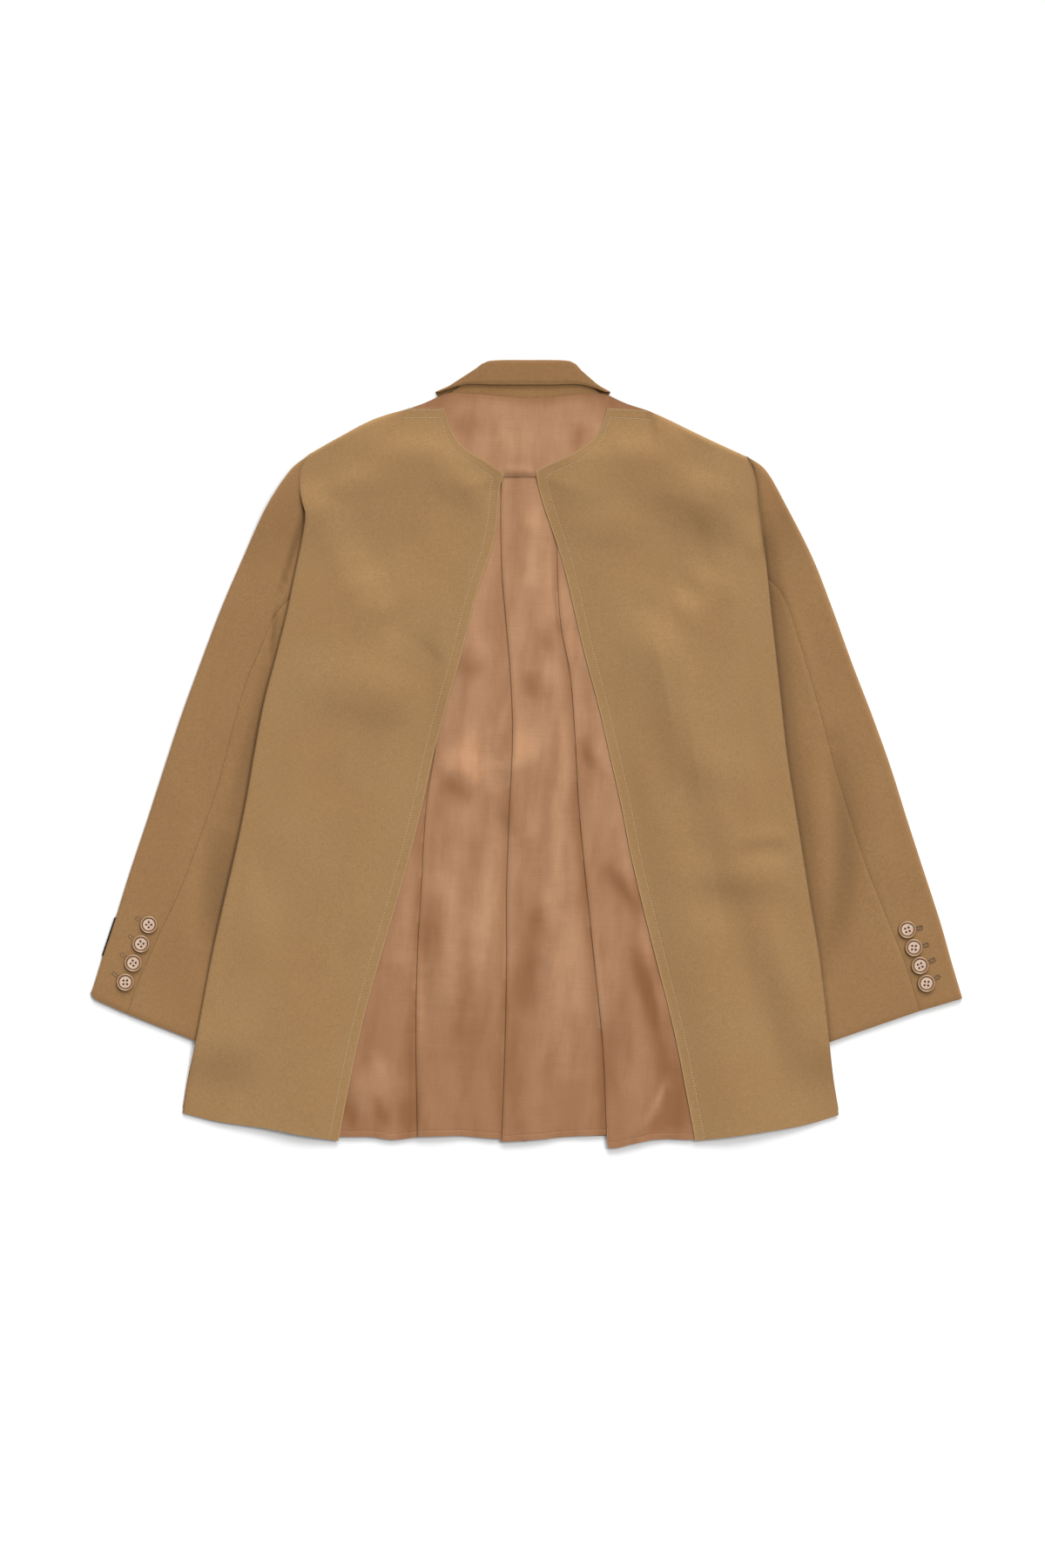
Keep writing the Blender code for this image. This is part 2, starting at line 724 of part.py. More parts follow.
def collar_fall(garment):
    stations = []
    count = len(COLLAR["turn"])
    order = [(k, -1) for k in range(count - 1, 0, -1)] + [(k, 1) for k in range(count)]
    for k, sign in order:
        fold = np.array([sign * COLLAR["fold_x"][k] + COLLAR_FOLD_SHIFT, COLLAR["fold_y"][k]])
        edge = np.array([sign * COLLAR["edge_x"][k] + COLLAR_EDGE_SHIFT, COLLAR["edge_y"][k]])
        inward = (edge - fold) / np.linalg.norm(edge - fold)
        turn = radians(COLLAR["turn"][k])
        facing = np.array([sign * cos(turn) * COLLAR_LEAN[0], cos(turn) * COLLAR_LEAN[1], sin(turn)])
        station = []
        roll = COLLAR["roll"][k]
        for share, inset, drop, level_inset in zip(*FALL_SECTION.values()):
            inset = roll * inset + (1 - roll) * level_inset
            flat = fold + inward * inset + (edge - fold) * share - facing[:2] * COLLAR_BOW * sin(pi * share)
            rise = COLLAR["height"][k] + COLLAR_SLOPE * share * sin(turn) * (turn > 0)
            station.append(np.array([*flat, rise]) - facing * drop * roll)
        stations.append(station)
    points = np.array(stations).transpose(1, 0, 2)[:, ::-1]
    return cloth("collar_fall", points, WOOL, WOOL_TAN, garment, looks_up=False)


STAND_TOP = table("x y", (-41, 384), (-20, 387.6), (0, 388), (20, 387.6), (43, 384))
STAND_COLUMNS = 15
STAND_ROWS = 5
STAND_LOW = 4.5
STAND_RISE = 4.2


def collar_stand(garment):
    columns = np.linspace(0, 1, STAND_COLUMNS)
    seam = trace(NECK_SEAM["x"], NECK_SEAM["y"], columns)
    top = trace(STAND_TOP["x"], STAND_TOP["y"], columns)
    rows = []
    for share in np.linspace(0, 1, STAND_ROWS):
        flat = seam + [0, NECK_GAP] + (top - seam) * share
        height = np.full(len(columns), STAND_LOW + STAND_RISE * ease(share))
        rows.append(np.concatenate([flat, height[:, None]], axis=-1))
    return cloth("collar_stand", np.array(rows[::-1]), WOOL, WOOL_TAN, garment)


# ---------------------------------------------------------------- sleeves

SLEEVE_TURN = np.array([12, 45, 90])
INNER_TURN = np.array([-90, -40, 0, 40, 90])
INNER_SHARES = np.array([0.3, 0.62])


def armhole_point(side, y):
    """The sleeve's end: beside the body down to the side fold, then in under it."""
    if y > FOLD_TOP_Y[side.name]:
        return np.array([body_edge(side, y) + ARMHOLE_GAP, y])
    return np.array([sleeve_inner(side, y), y])


def sleeve_section(side, row, upper):
    """One section of a sleeve piece, as points from the underside round its fold to the top."""
    stations = SLEEVES[side.name]
    outer = np.array([stations["outer_x"][row], stations["outer_y"][row]])
    elbow = np.array([stations["elbow_x"][row], stations["elbow_y"][row]])
    inner_y = stations["inner_y"][row]
    inner = np.array([sleeve_inner(side, inner_y), inner_y])
    radius = sleeve_thick(outer[1]) / 2
    if upper:
        turns = np.concatenate([-SLEEVE_TURN[::-1], SLEEVE_TURN])
        start, end = outer, elbow
    else:
        turns = INNER_TURN
        start, end = inner, elbow
    length = np.linalg.norm(end - start)
    way = (end - start) / length
    curl = [(start + way * radius * (1 - cos(radians(turn))), sin(radians(turn))) for turn in turns]
    if upper:
        seam_ys = ARMHOLE_ROWS[ARMHOLE_ROWS >= FOLD_TOP_Y[side.name]]
        shares = np.arange(1, len(seam_ys) + 2) / (len(seam_ys) + 1)
    else:
        seam_ys = None
        shares = np.append(INNER_SHARES, 1)
    flat = [start + way * (radius + (length - radius - SEAM_GAP / 2) * share) for share in shares]
    if row == 0:
        if upper:
            elbow_y = ELBOW_SEAM_TOP_Y[side.name]
            ys = [outer[1] - radius * (1 - cos(radians(turn))) for turn in turns]
            curl = [(armhole_point(side, y), level) for y, (_, level) in zip(ys, curl)]
            flat = [armhole_point(side, y) for y in [*seam_ys, elbow_y + SEAM_GAP / 2]]
        else:
            elbow_y = ELBOW_SEAM_TOP_Y[side.name] - SEAM_GAP / 2
            fold_y = inner_y + radius
            flat = [armhole_point(side, fold_y + (elbow_y - fold_y) * share) for share in shares]
    section = [(point, -1.0) for point in reversed(flat)] + curl + [(point, 1.0) for point in flat]
    points = []
    for (x, y), level in section:
        thick = sleeve_thick(y)
        points.append((side.sign * x, y, shoulder_lift(x, y) + thick / 2 * (1 + level)))
    return points


def sleeve_piece(side, upper, garment):
    rows = len(SLEEVES[side.name]["outer_x"])
    points = np.array([sleeve_section(side, row, upper) for row in range(rows)])
    name = f"sleeve_{side.name}_{'upper' if upper else 'under'}"
    return cloth(name, points, WOOL, WOOL_TAN, garment)


# ---------------------------------------------------------------- buttons and tab

# Half section of a cuff button, from the axis out and round to its back.
BUTTON_SECTION = table(
    "radius height",
    (5.6, 2.3),
    (6.4, 2.0),
    (7.2, 2.9),
    (8.4, 2.7),
    (8.9, 1.6),
    (8.2, 0.3),
    (6.5, 0.0),
)
BUTTON_SIDES = 18
BUTTON_HOLES = 4
HOLE_CENTRES = 2.6
HOLE_RADIUS = 1.1
HOLE_SIDES = 6
DRILL_LENGTH = 10.0
SHARP_ANGLE = 35
SEAT_GAP = 0.3
TAB_TURNS = (30, 7, -16, -40)
TAB_ROWS = 5


def button_mesh():
    """A turned button with a sunk face, a groove inside its rim, and four holes right through."""
    shape = bmesh.new()
    rings = []
    for radius, height in zip(BUTTON_SECTION["radius"], BUTTON_SECTION["height"]):
        ring = []
        for k in range(BUTTON_SIDES):
            angle = 2 * pi * k / BUTTON_SIDES
            ring.append(shape.verts.new((radius * cos(angle) * MM, radius * sin(angle) * MM, height * MM)))
        rings.append(ring)
    for inner, outer in zip(rings, rings[1:]):
        for k in range(BUTTON_SIDES):
            after = (k + 1) % BUTTON_SIDES
            shape.faces.new((inner[k], outer[k], outer[after], inner[after]))
    shape.faces.new(rings[0])
    shape.faces.new(rings[-1][::-1])
    bmesh.ops.recalc_face_normals(shape, faces=shape.faces)
    body = bpy.data.meshes.new("button_body")
    shape.to_mesh(body)
    shape.free()
    holes = bmesh.new()
    for k in range(BUTTON_HOLES):
        angle = pi / 4 + k * 2 * pi / BUTTON_HOLES
        radius = HOLE_RADIUS * MM
        made = bmesh.ops.create_cone(
            holes, cap_ends=True, segments=HOLE_SIDES, radius1=radius, radius2=radius, depth=DRILL_LENGTH * MM
        )
        centre = (HOLE_CENTRES * cos(angle) * MM, HOLE_CENTRES * sin(angle) * MM, 0)
        bmesh.ops.translate(holes, verts=made["verts"], vec=centre)
    drill = bpy.data.meshes.new("button_drill")
    holes.to_mesh(drill)
    holes.free()
    blank = bpy.data.objects.new("button_blank", body)
    cutter = bpy.data.objects.new("button_cutter", drill)
    for guide in (blank, cutter):
        guide.hide_render = True
        guide.display_type = "WIRE"
        bpy.context.scene.collection.objects.link(guide)
    cut = blank.modifiers.new("holes", "BOOLEAN")
    cut.operation = "DIFFERENCE"
    cut.object = cutter
    drilled = bpy.data.meshes.new_from_object(blank.evaluated_get(bpy.context.evaluated_depsgraph_get()))
    for guide in (blank, cutter):
        bpy.data.objects.remove(guide)
    drilled.name = "cuff_button"
    drilled.shade_smooth()
    drilled.set_sharp_from_angle(angle=radians(SHARP_ANGLE))
    return drilled


def cuff_buttons(garment):
    mesh = button_mesh()
    for side in SIDES:
        for k in range(len(CUFF_BUTTONS["left_x"])):
            x = CUFF_BUTTONS[side.name + "_x"][k]
            y = CUFF_BUTTONS[side.name + "_y"][k]
            button = add_object(f"button_{side.name}_{k + 1}", mesh, BUTTON_HORN, garment)
            seat = sleeve_thick(y + BUTTON_RADIUS) + SEAT_GAP
            button.location = (side.sign * x * MM, y * MM, seat * MM)
            button.rotation_euler.z = radians(CUFF_BUTTONS[side.name + "_turn"][k])


def cuff_tab(garment):
    """A narrow band round the outer fold of the left cuff, drawn from the sleeve's own sections."""
    rows = []
    for y in np.linspace(TAB_TOP_Y, TAB_BOTTOM_Y, TAB_ROWS):
        x = along(SLEEVE_LEFT["outer_y"], SLEEVE_LEFT["outer_x"], y)
        radius = sleeve_thick(y) / 2
        skin = radius + SEAT_GAP + TAB_THICK
        row = []
        for turn in TAB_TURNS:
            reach = x - radius + skin * cos(radians(turn))
            row.append((-reach, y, radius + skin * sin(radians(turn))))
        rows.append(row[::-1])
    return cloth("cuff_tab", np.array(rows), TAB_THICK, TAB_BLACK, garment)


def main():
    for old in list(bpy.data.objects):
        bpy.data.objects.remove(old)
    garment = bpy.data.objects.new("blazer", None)
    bpy.context.scene.collection.objects.link(garment)
    for side in SIDES:
        lapel(side, garment)
        front_panel(side, garment)
        sleeve_piece(side, True, garment)
        sleeve_piece(side, False, garment)
        back_panel(side, garment)
    pleat_lining(garment)
    yoke_lining(garment)
    collar_stand(garment)
    collar_fall(garment)
    cuff_buttons(garment)
    cuff_tab(garment)


main()
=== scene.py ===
"""The looks of the blazer, laid flat with its back up: cloth with its folds, stitches and cuff buttons.

Lengths are millimetres and become metres when a mesh is made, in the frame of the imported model.
"""

from collections import namedtuple
from functools import partial
from itertools import groupby
from math import cos, pi, radians, sin

import bpy
import numpy as np
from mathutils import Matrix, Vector


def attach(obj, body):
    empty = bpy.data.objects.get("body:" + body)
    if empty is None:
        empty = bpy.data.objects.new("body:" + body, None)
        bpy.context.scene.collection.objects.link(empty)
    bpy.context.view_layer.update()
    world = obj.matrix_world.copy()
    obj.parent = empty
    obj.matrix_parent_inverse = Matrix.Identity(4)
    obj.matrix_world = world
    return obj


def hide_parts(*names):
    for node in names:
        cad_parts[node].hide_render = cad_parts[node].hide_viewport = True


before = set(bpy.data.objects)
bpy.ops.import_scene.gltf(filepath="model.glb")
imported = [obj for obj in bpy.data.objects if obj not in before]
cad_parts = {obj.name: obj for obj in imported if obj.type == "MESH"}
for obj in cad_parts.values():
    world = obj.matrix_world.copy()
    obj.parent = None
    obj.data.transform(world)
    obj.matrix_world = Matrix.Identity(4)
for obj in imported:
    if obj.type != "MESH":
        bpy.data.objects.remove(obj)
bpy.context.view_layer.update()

MM = 0.001


def table(columns, *rows):
    """A table with named columns, one row for each section, fold or corner."""
    return dict(zip(columns.split(), np.array(rows, float).T))


Side = namedtuple("Side", "name sign")
LEFT = Side("left", -1)
RIGHT = Side("right", 1)
SIDES = (LEFT, RIGHT)
# A soft step: where it starts, and how far it takes.
Ramp = namedtuple("Ramp", "start length")
# An amount at an edge or seam, and how far from it that fades.
Fade = namedtuple("Fade", "amount width")
# An even unevenness: height, wavelength, seed, and how much it is squeezed up and down the cloth.
Ripple = namedtuple("Ripple", "height wavelength seed squeeze", defaults=(1,))

SATIN = 1.0
SEAM_GAP = 0.2
ARMHOLE_GAP = -0.6
NECK_GAP = -1.0

# Outline of the body, shoulder point to hem: down the armhole seam first, then the fold at the side.
BODY_EDGE = table(
    "y left right",
    (297, 216, 219), (287, 223, 224.5), (272, 225, 229), (251, 222.5, 231), (237, 219, 232.5),
    (208, 223.5, 236), (180, 229.5, 239.5), (145, 236.5, 243), (100, 247.5, 248), (50, 260.5, 253.5),
    (0, 270, 259), (-70, 282.5, 270), (-140, 298.5, 281), (-210, 314, 292.5), (-285, 328, 301),
    (-325, 336, 305.5), (-357, 341, 310.5),
)

# Raw inner edge of each back panel, from its tip at the neck down to the hem.
BACK_OPENING = table(
    "y left right",
    (281, 21, 9.5), (265, 26.5, 12.5), (250, 28, 16.5), (215, 31, 28.5), (190, 39, 36.5), (149, 52, 46.5),
    (111, 60.5, 55), (76, 72, 65), (35, 82, 75), (-20, 97, 87.5), (-70, 107, 98.5), (-120, 121, 108),
    (-170, 135, 121), (-220, 150, 133), (-270, 163, 146), (-325, 175, 157), (-386, 186.5, 168.5),
)

# Top outline of each back panel in three runs: the shoulder fold, the short cut edge, and the neckline.
SHOULDER = table(
    "left_x left_y right_x right_y",
    (216, 297, 219, 295), (182.5, 316, 175.6, 315), (148, 333.5, 140, 332.5), (119, 342, 122, 340.5),
)
SHORT_EDGE = table("left_x left_y right_x right_y", (119, 342, 122, 340.5), (81, 342, 81, 343))
NECKLINE = table(
    "left_x left_y right_x right_y",
    (81, 342, 81, 343), (76, 325, 76, 327), (68, 310.5, 65, 310.5), (54, 298, 49, 300), (36, 288, 19, 285),
    (21.5, 278, 9.5, 281),
)
# Top outline of each front, past the shoulder.
NECK_POINT = table("left_x left_y right_x right_y", (119, 342, 122, 340), (90, 352, 88, 352))

# Bottom edge of each back panel, from the side to the opening.
BACK_HEM = table(
    "left_x left_y right_x right_y",
    (342, -356, 312, -358), (305, -365, 274, -369), (259, -371.5, 235, -375.5), (220, -379, 204, -380),
    (186, -384, 168, -384),
)
FRONT_HEM_RISE = 5

# Where the hidden end and the inner fold of each sleeve run under the body.
SLEEVE_INNER = table(
    "y left right",
    (260, 223.5, 230.5), (237, 219, 232.5), (208, 208, 236), (180, 194, 222), (140, 171, 186),
    (95, 154, 154), (40, 174, 172), (-55, 211, 209), (-165, 252, 252), (-294, 300, 301),
)
FOLD_TOP_Y = {"left": 237, "right": 208}
ELBOW_SEAM_TOP_Y = {"left": 192, "right": 184}

# Sleeve sections from the armhole to the cuff: the outer fold, the elbow seam, and the inner fold's height.
SLEEVE_LEFT = table(
    "outer_x outer_y elbow_x elbow_y inner_y",
    (216.5, 297, 201, 192, 95), (234, 281.6, 212, 178, 88), (257, 247, 227, 162, 80),
    (281, 195, 247, 141, 68), (302.5, 145, 262, 109, 52), (323, 91, 279, 68, 24), (342, 39, 293, 19, -18),
    (359, -12.5, 307.5, -36, -72), (376, -65, 326, -89, -120), (393, -116, 343, -134, -168),
    (409, -167, 366, -183, -215), (422, -206, 385, -226, -258), (432.5, -241.5, 396, -258, -296),
)
SLEEVE_RIGHT = table(
    "outer_x outer_y elbow_x elbow_y inner_y",
    (219.5, 295.5, 226, 184, 95), (238, 281.6, 238, 176, 88), (258, 247, 249, 166, 80),
    (284.5, 195, 258, 152, 68), (304, 145, 268, 123, 52), (323.5, 91, 280, 84, 24),
    (343.5, 39, 291, 46, -18), (362, -12.5, 307, -14, -72), (378.5, -65, 323, -66, -120),
    (395, -116, 339, -114, -168), (411.5, -167, 358, -162, -215), (422.5, -206, 376.5, -208, -256),
    (433.4, -242.6, 391, -255, -287),
)
SLEEVES = {"left": SLEEVE_LEFT, "right": SLEEVE_RIGHT}

# Front edge and roll line, the same on both fronts: the edges meet at the centre, 4 mm short of it each.
FRONT_EDGE = table("y out", (352, 88), (285, 71), (-60, 4), (-380, 4))
# Outer edge of what is folded under each front: the collar's end, then the lapel down to its break.
FOLDED_UNDER = table("y out", (356, 96), (320, 116), (285, 135), (262, 165), (-60, 4), (-110, -60))
LAPEL_TOP = table("x y", (72, 283), (128, 279), (162, 264))
LAPEL_END_Y = -48

# Neck seam, shared by the yoke lining and the collar stand, from the wearer's left to right.
NECK_SEAM = table(
    "x y",
    (-77, 358), (-54, 357.5), (-18, 354), (-1, 352.5), (17, 353), (52, 356.5), (74, 358),
)
YOKE_TOP = table(
    "x y",
    (-122, 337.5), (-104, 347), (-90, 353), (-77, 358), (-54, 357.5), (-18, 354), (-1, 352.5), (17, 353),
    (52, 356.5), (74, 358), (86, 353.5), (104, 346), (122, 337.5),
)
YOKE_FOLD_Y = 275
YOKE_NARROWING = 0.4

# Knife pleats of the back lining: where each fold lies at a given height.
PLEATS = table(
    "y first second third",
    (284, -78, -24, 32), (215, -84, -25, 32), (147, -87, -21, 33), (96, -88, -16, 43), (13, -88, -13, 50),
    (-51, -98.6, -16, 53.5), (-139, -104, -19, 62), (-215, -108, -19, 70), (-300, -109, -21, 78),
    (-378, -107.5, -24, 81),
)
PLEAT_NAMES = ("first", "second", "third")
PLEAT_DEPTH = 25
PLEAT_SLOPE = 32
LINING_TOP_Y = 284
LINING_REACH = table(
    "y out",
    (284, 86), (200, 93), (100, 93), (0, 118), (-100, 156), (-200, 196), (-300, 232), (-386, 248),
)
# Lower edge of the lining between the pleats, from left to right.
LINING_HEM = table(
    "x y",
    (-248, -362), (-205, -374), (-186, -380), (-156, -380), (-131, -383), (-106, -380), (-67, -379),
    (-24, -384),
)
LINING_HEM_MIDDLE = table("x y", (-25, -385), (22, -382), (60, -377.5), (110, -377))
LINING_HEM_RIGHT = table(
    "x y",
    (80, -390.5), (90, -391), (111, -386), (136, -382), (168, -383), (190, -374), (248, -362),
)

# Heights of the stack, and thickness of the sleeves in it.
ARM_THICK = 5.6
CUFF_THICK = 4.4
OVER_SLEEVE = 0.9
SHOULDER_LIFT = 4.0
SIDE_STACK = 3.4
SHOULDER_STACK = 6.0
LOOSE_STACK = 1.2
LAPEL_STEP = 1.9
LINING_LOW = 3.4
PLEAT_LEVEL = 0.85
YOKE_LOW = 3.4
YOKE_OVER_PLEATS = 6.4
# Top of the body's stack over its middle: it is highest where the yoke lies on the pleats.
BACK_TOP = table("y top", (-400, 8.8), (240, 8.8), (268, 10.2), (296, 10.2), (330, 6.3), (360, 6.3))

# Where the heights change.
LIFT_OUT = Ramp(110, 80)
LIFT_UP = Ramp(190, 70)
CUFF_TO_ARM = Ramp(-240, 400)
ONTO_SLEEVE = Ramp(-58, 45)
ABOVE_FOLD_TOP = Ramp(0, 38)
ABOVE_CUFF = Ramp(-337, 35)
PAST_LAPEL = Ramp(8, 34)
PAST_OPENING = Ramp(42, 80)
INSIDE_EDGE = Ramp(15, 30)
ABOVE_YOKE_FOLD = Ramp(287, 40)

# Collar stations from the centre back round the neck to the end on the front, the left half's distances.
COLLAR = table(
    "turn roll fold_x fold_y edge_x edge_y height",
    (90, 1, 0, 391, 0, 366.5, 13), (90, 1, 24, 391, 30, 366.5, 13), (90, 1, 36, 390.5, 58, 366.5, 12.8),
    (90, 0.9, 42, 389.4, 82, 359.5, 12.2), (45, 0.7, 44, 389, 85.5, 359.5, 10.4),
    (0, 0.4, 45, 388.4, 87, 359.5, 6.2), (-45, 0.2, 45, 387.4, 86, 357.5, 2),
    (-90, 0, 44, 385, 84, 354.5, 0), (-90, 0, 62, 335, 112, 322, 0), (-90, 0, 71, 288, 128, 286, 0),
)
COLLAR_SLOPE = 1.6
COLLAR_BOW = 3.0
COLLAR_LEAN = (0.6, 0.8)
COLLAR_FOLD_SHIFT = 3.0
COLLAR_EDGE_SHIFT = -3.0

# ---- curves and heights


def rising(knots, values):
    """Both columns of a table, in the order in which the knots rise."""
    return (knots[::-1], values[::-1]) if knots[0] > knots[-1] else (knots, values)


def between(knots, at):
    """The row before each place, the width to the next row, and the share of it that is reached."""
    at = np.clip(at, knots[0], knots[-1])
    i = np.clip(np.searchsorted(knots, at) - 1, 0, len(knots) - 2)
    width = knots[i + 1] - knots[i]
    return i, width, (at - knots[i]) / width


def hermite(t, width, a, b, slope_a, slope_b):
    """A smooth curve from a to b with the slopes given, at a share of the width."""
    start = (1 + 2 * t) * (1 - t) ** 2 * a + t * (1 - t) ** 2 * width * slope_a
    end = t**2 * (3 - 2 * t) * b + t**2 * (t - 1) * width * slope_b
    return start + end


def along(knots, values, at):
    """A smooth curve through the values, read at the given places; ends are held level beyond the table."""
    knots, values = rising(knots, values)
    secants = np.diff(values) / np.diff(knots)
    before, after = secants[:-1], secants[1:]
    same_way = before * after > 0
    inner = np.where(same_way, 2 * before * after / np.where(same_way, before + after, 1), 0)
    slopes = np.concatenate([secants[:1], inner, secants[-1:]])
    i, width, t = between(knots, at)
    return hermite(t, width, values[i], values[i + 1], slopes[i], slopes[i + 1])


def straight(knots, values, at):
    """Straight lines between the table's rows."""
    return np.interp(at, *rising(knots, values))


def stepped(knots, values, at):
    """Level at each row of the table, with a soft step from one to the next."""
    knots, values = rising(knots, values)
    i, _, t = between(knots, at)
    return blend(values[i], values[i + 1], ease(t))


def read(rows, column, at, curve=along):
    """A column of a table at the given heights, on a smooth curve unless another is named."""
    return curve(rows["y"], rows[column], at)


def of_side(rows, side):
    """The x and y columns of one side."""
    return rows[side.name + "_x"], rows[side.name + "_y"]


def run_of(steps):
    """Distance from the start of a line to each of its points, from the lengths of its steps."""
    return np.concatenate([[0], np.cumsum(steps)])


def trace(xs, ys, fractions):
    """Points of a smooth line through the corners given, at fractions of its length."""
    run = run_of(np.hypot(np.diff(xs), np.diff(ys)))
    at = np.asarray(fractions) * run[-1]
    return np.stack([along(run, xs, at), along(run, ys, at)], axis=-1)


def blend(a, b, share):
    return a + (b - a) * share


def ease(t):
    """0 below 0, 1 above 1, and a soft step between."""
    t = np.clip(t, 0.0, 1.0)
    return t * t * (3 - 2 * t)


def climb(ramp, at):
    """0 up to the ramp's start, 1 past its end, and a soft step between."""
    return ease((at - ramp.start) / ramp.length)


def bell(across):
    return np.exp(-(across**2))


def fade(kind, at):
    """The whole amount at 0, fading as a bell away from it."""
    return kind.amount * bell(at / kind.width)


def body_edge(side, y):
    return read(BODY_EDGE, side.name, y)


def back_opening(side, y):
    """Inner edge of the back panel: down the opening, and round the neckline above its tip."""
    neck_x, neck_y = of_side(NECKLINE, side)
    ys = np.concatenate([neck_y[:-1], BACK_OPENING["y"][1:]])
    xs = np.concatenate([neck_x[:-1], BACK_OPENING[side.name][1:]])
    return along(ys, xs, y)


def sleeve_inner(side, y):
    return read(SLEEVE_INNER, side.name, y)


def shoulder_lift(out, y):
    """The pads and seams of the shoulder hold every layer a little off the surface."""
    return SHOULDER_LIFT * climb(LIFT_OUT, out) * climb(LIFT_UP, y)


def sleeve_thick(y):
    return blend(CUFF_THICK, ARM_THICK, climb(CUFF_TO_ARM, y))


def above_fold(side, y):
    """1 above the top of the fold at the side, easing to 0 below it."""
    return climb(ABOVE_FOLD_TOP, y - FOLD_TOP_Y[side.name])


def ground(side, out, y):
    """Height of what the body lies on: the surface or the sleeve, and the lift of the shoulder."""
    on_sleeve = climb(ONTO_SLEEVE, out - sleeve_inner(side, y)) * (1 - above_fold(side, y))
    on_sleeve = on_sleeve * climb(ABOVE_CUFF, y)
    return shoulder_lift(out, y) + (sleeve_thick(y) + OVER_SLEEVE) * on_sleeve


def front_low(side, out, y):
    """Underside of the front panel."""
    under = read(FOLDED_UNDER, "out", y, straight)
    return ground(side, out, y) + LAPEL_STEP * (1 - climb(PAST_LAPEL, out - under))


def back_high(side, out, y):
    """Upper face of the back panel."""
    centre = ground(side, out, y) + read(BACK_TOP, "top", y, stepped)
    edge_stack = blend(SIDE_STACK, SHOULDER_STACK, above_fold(side, y))
    loose = LOOSE_STACK * climb(INSIDE_EDGE, body_edge(side, y) - out)
    outer = front_low(side, out, y) + edge_stack + loose
    return blend(centre, outer, climb(PAST_OPENING, out - back_opening(side, y)))


def yoke_low(y):
    return blend(YOKE_OVER_PLEATS, YOKE_LOW, climb(ABOVE_YOKE_FOLD, y))


# ---- body panels

EDGE_GAP = 0.1
# Sections of the rounded edge where back and front meet, as angles from level to upright.
EDGE_TURN = np.array([8, 30, 58, 90])
SHOULDER_ROLL = 4.0
FLAT_INSETS = [14, 28, 42]
SIDE_INSETS = np.concatenate([SIDE_STACK / 2 * (1 - np.cos(np.radians(EDGE_TURN))), FLAT_INSETS])
SHOULDER_ROWS = BODY_EDGE["y"][0] - SHOULDER_ROLL * (1 - np.cos(np.radians(EDGE_TURN)))
ARMHOLE_ROWS = np.array([282, 267, 252, 237, 208])
SIDE_ROWS = np.array([190, 165, 140, 100, 50, 0, -50, -100, -150, -200, -250, -290, -325, -357])
BODY_ROWS = np.concatenate([SHOULDER_ROWS, ARMHOLE_ROWS, SIDE_ROWS])
# Between these heights the rows run level.
LEVEL_TOP_Y = 190
LEVEL_END_Y = -290
NECKLINE_SHARES = [0.22, 0.45, 0.72, 1]
LAPEL_SHARES = np.array([0, 0.3, 0.6, 0.82, 1])
LAPEL_ROWS = 7
LAPEL_BELLY = 6.0


def body_plan(side, top_line, inner, hem, inner_end_y):
    """Plan of a panel: level rows from the side edge to the inner one, bent to its top line and its hem."""
    shares = np.linspace(0, 1, len(top_line) - len(SIDE_INSETS) + 1)[1:]

    def level_row(side_y, inner_y):
        out_x = body_edge(side, side_y)
        width = out_x - inner(inner_y)
        depth = np.concatenate([SIDE_INSETS, SIDE_INSETS[-1] + shares * (width - SIDE_INSETS[-1])])
        return np.stack([out_x - depth, side_y + (inner_y - side_y) * (depth / width)], axis=-1)

    top_y, end_y = BODY_ROWS[0], BODY_ROWS[-1]
    inner_top_y = top_line[-1, 1]
    last = level_row(end_y, inner_end_y)
    bend_top = top_line - level_row(top_y, inner_top_y)
    bend_end = np.stack([np.zeros(len(last)), hem(last[:, 0]) - last[:, 1]], axis=-1)
    rows = []
    for y in BODY_ROWS:
        inner_y, bent = y, 0
        for level_y, last_y, inner_last_y, shift in (
            (LEVEL_TOP_Y, top_y, inner_top_y, bend_top),
            (LEVEL_END_Y, end_y, inner_end_y, bend_end),
        ):
            if (y - level_y) * (last_y - level_y) > 0:
                inner_y = level_y + (y - level_y) * (inner_last_y - level_y) / (last_y - level_y)
                bent = (y - level_y) / (last_y - level_y) * shift
        rows.append(level_row(y, inner_y) + bent)
    return np.array(rows)


def rolled(side, plan, heights, shoulder, way):
    """Heights of a panel whose edge turns to the middle of the stack, down its side and along its shoulder.

    The turn stops at the shoulder line's last point. The way is 1 for a back panel and -1 for a front.
    """
    out, y = plan[..., 0], plan[..., 1]
    middle = (back_high(side, out, y) + front_low(side, out, y)) / 2
    half = np.abs(heights - middle) - EDGE_GAP
    drop = 1 - np.sin(np.radians(EDGE_TURN))
    turns = len(EDGE_TURN)
    share = np.zeros(heights.shape)
    share[:, :turns] = np.outer(BODY_ROWS < FOLD_TOP_Y[side.name], drop)
    on_shoulder = np.arange(heights.shape[1]) < len(shoulder) - 1
    share[:turns] = np.maximum(share[:turns], np.outer(drop, on_shoulder))
    return heights - way * half * share


def shoulder_run(side, fractions):
    """Points along the shoulder line from its point: the side insets, then shares of what is left."""
    xs, ys = of_side(SHOULDER, side)
    insets = SIDE_INSETS / np.hypot(np.diff(xs), np.diff(ys)).sum()
    rest = insets[-1] + (1 - insets[-1]) * np.asarray(fractions)
    return trace(xs, ys, np.concatenate([insets, rest]))


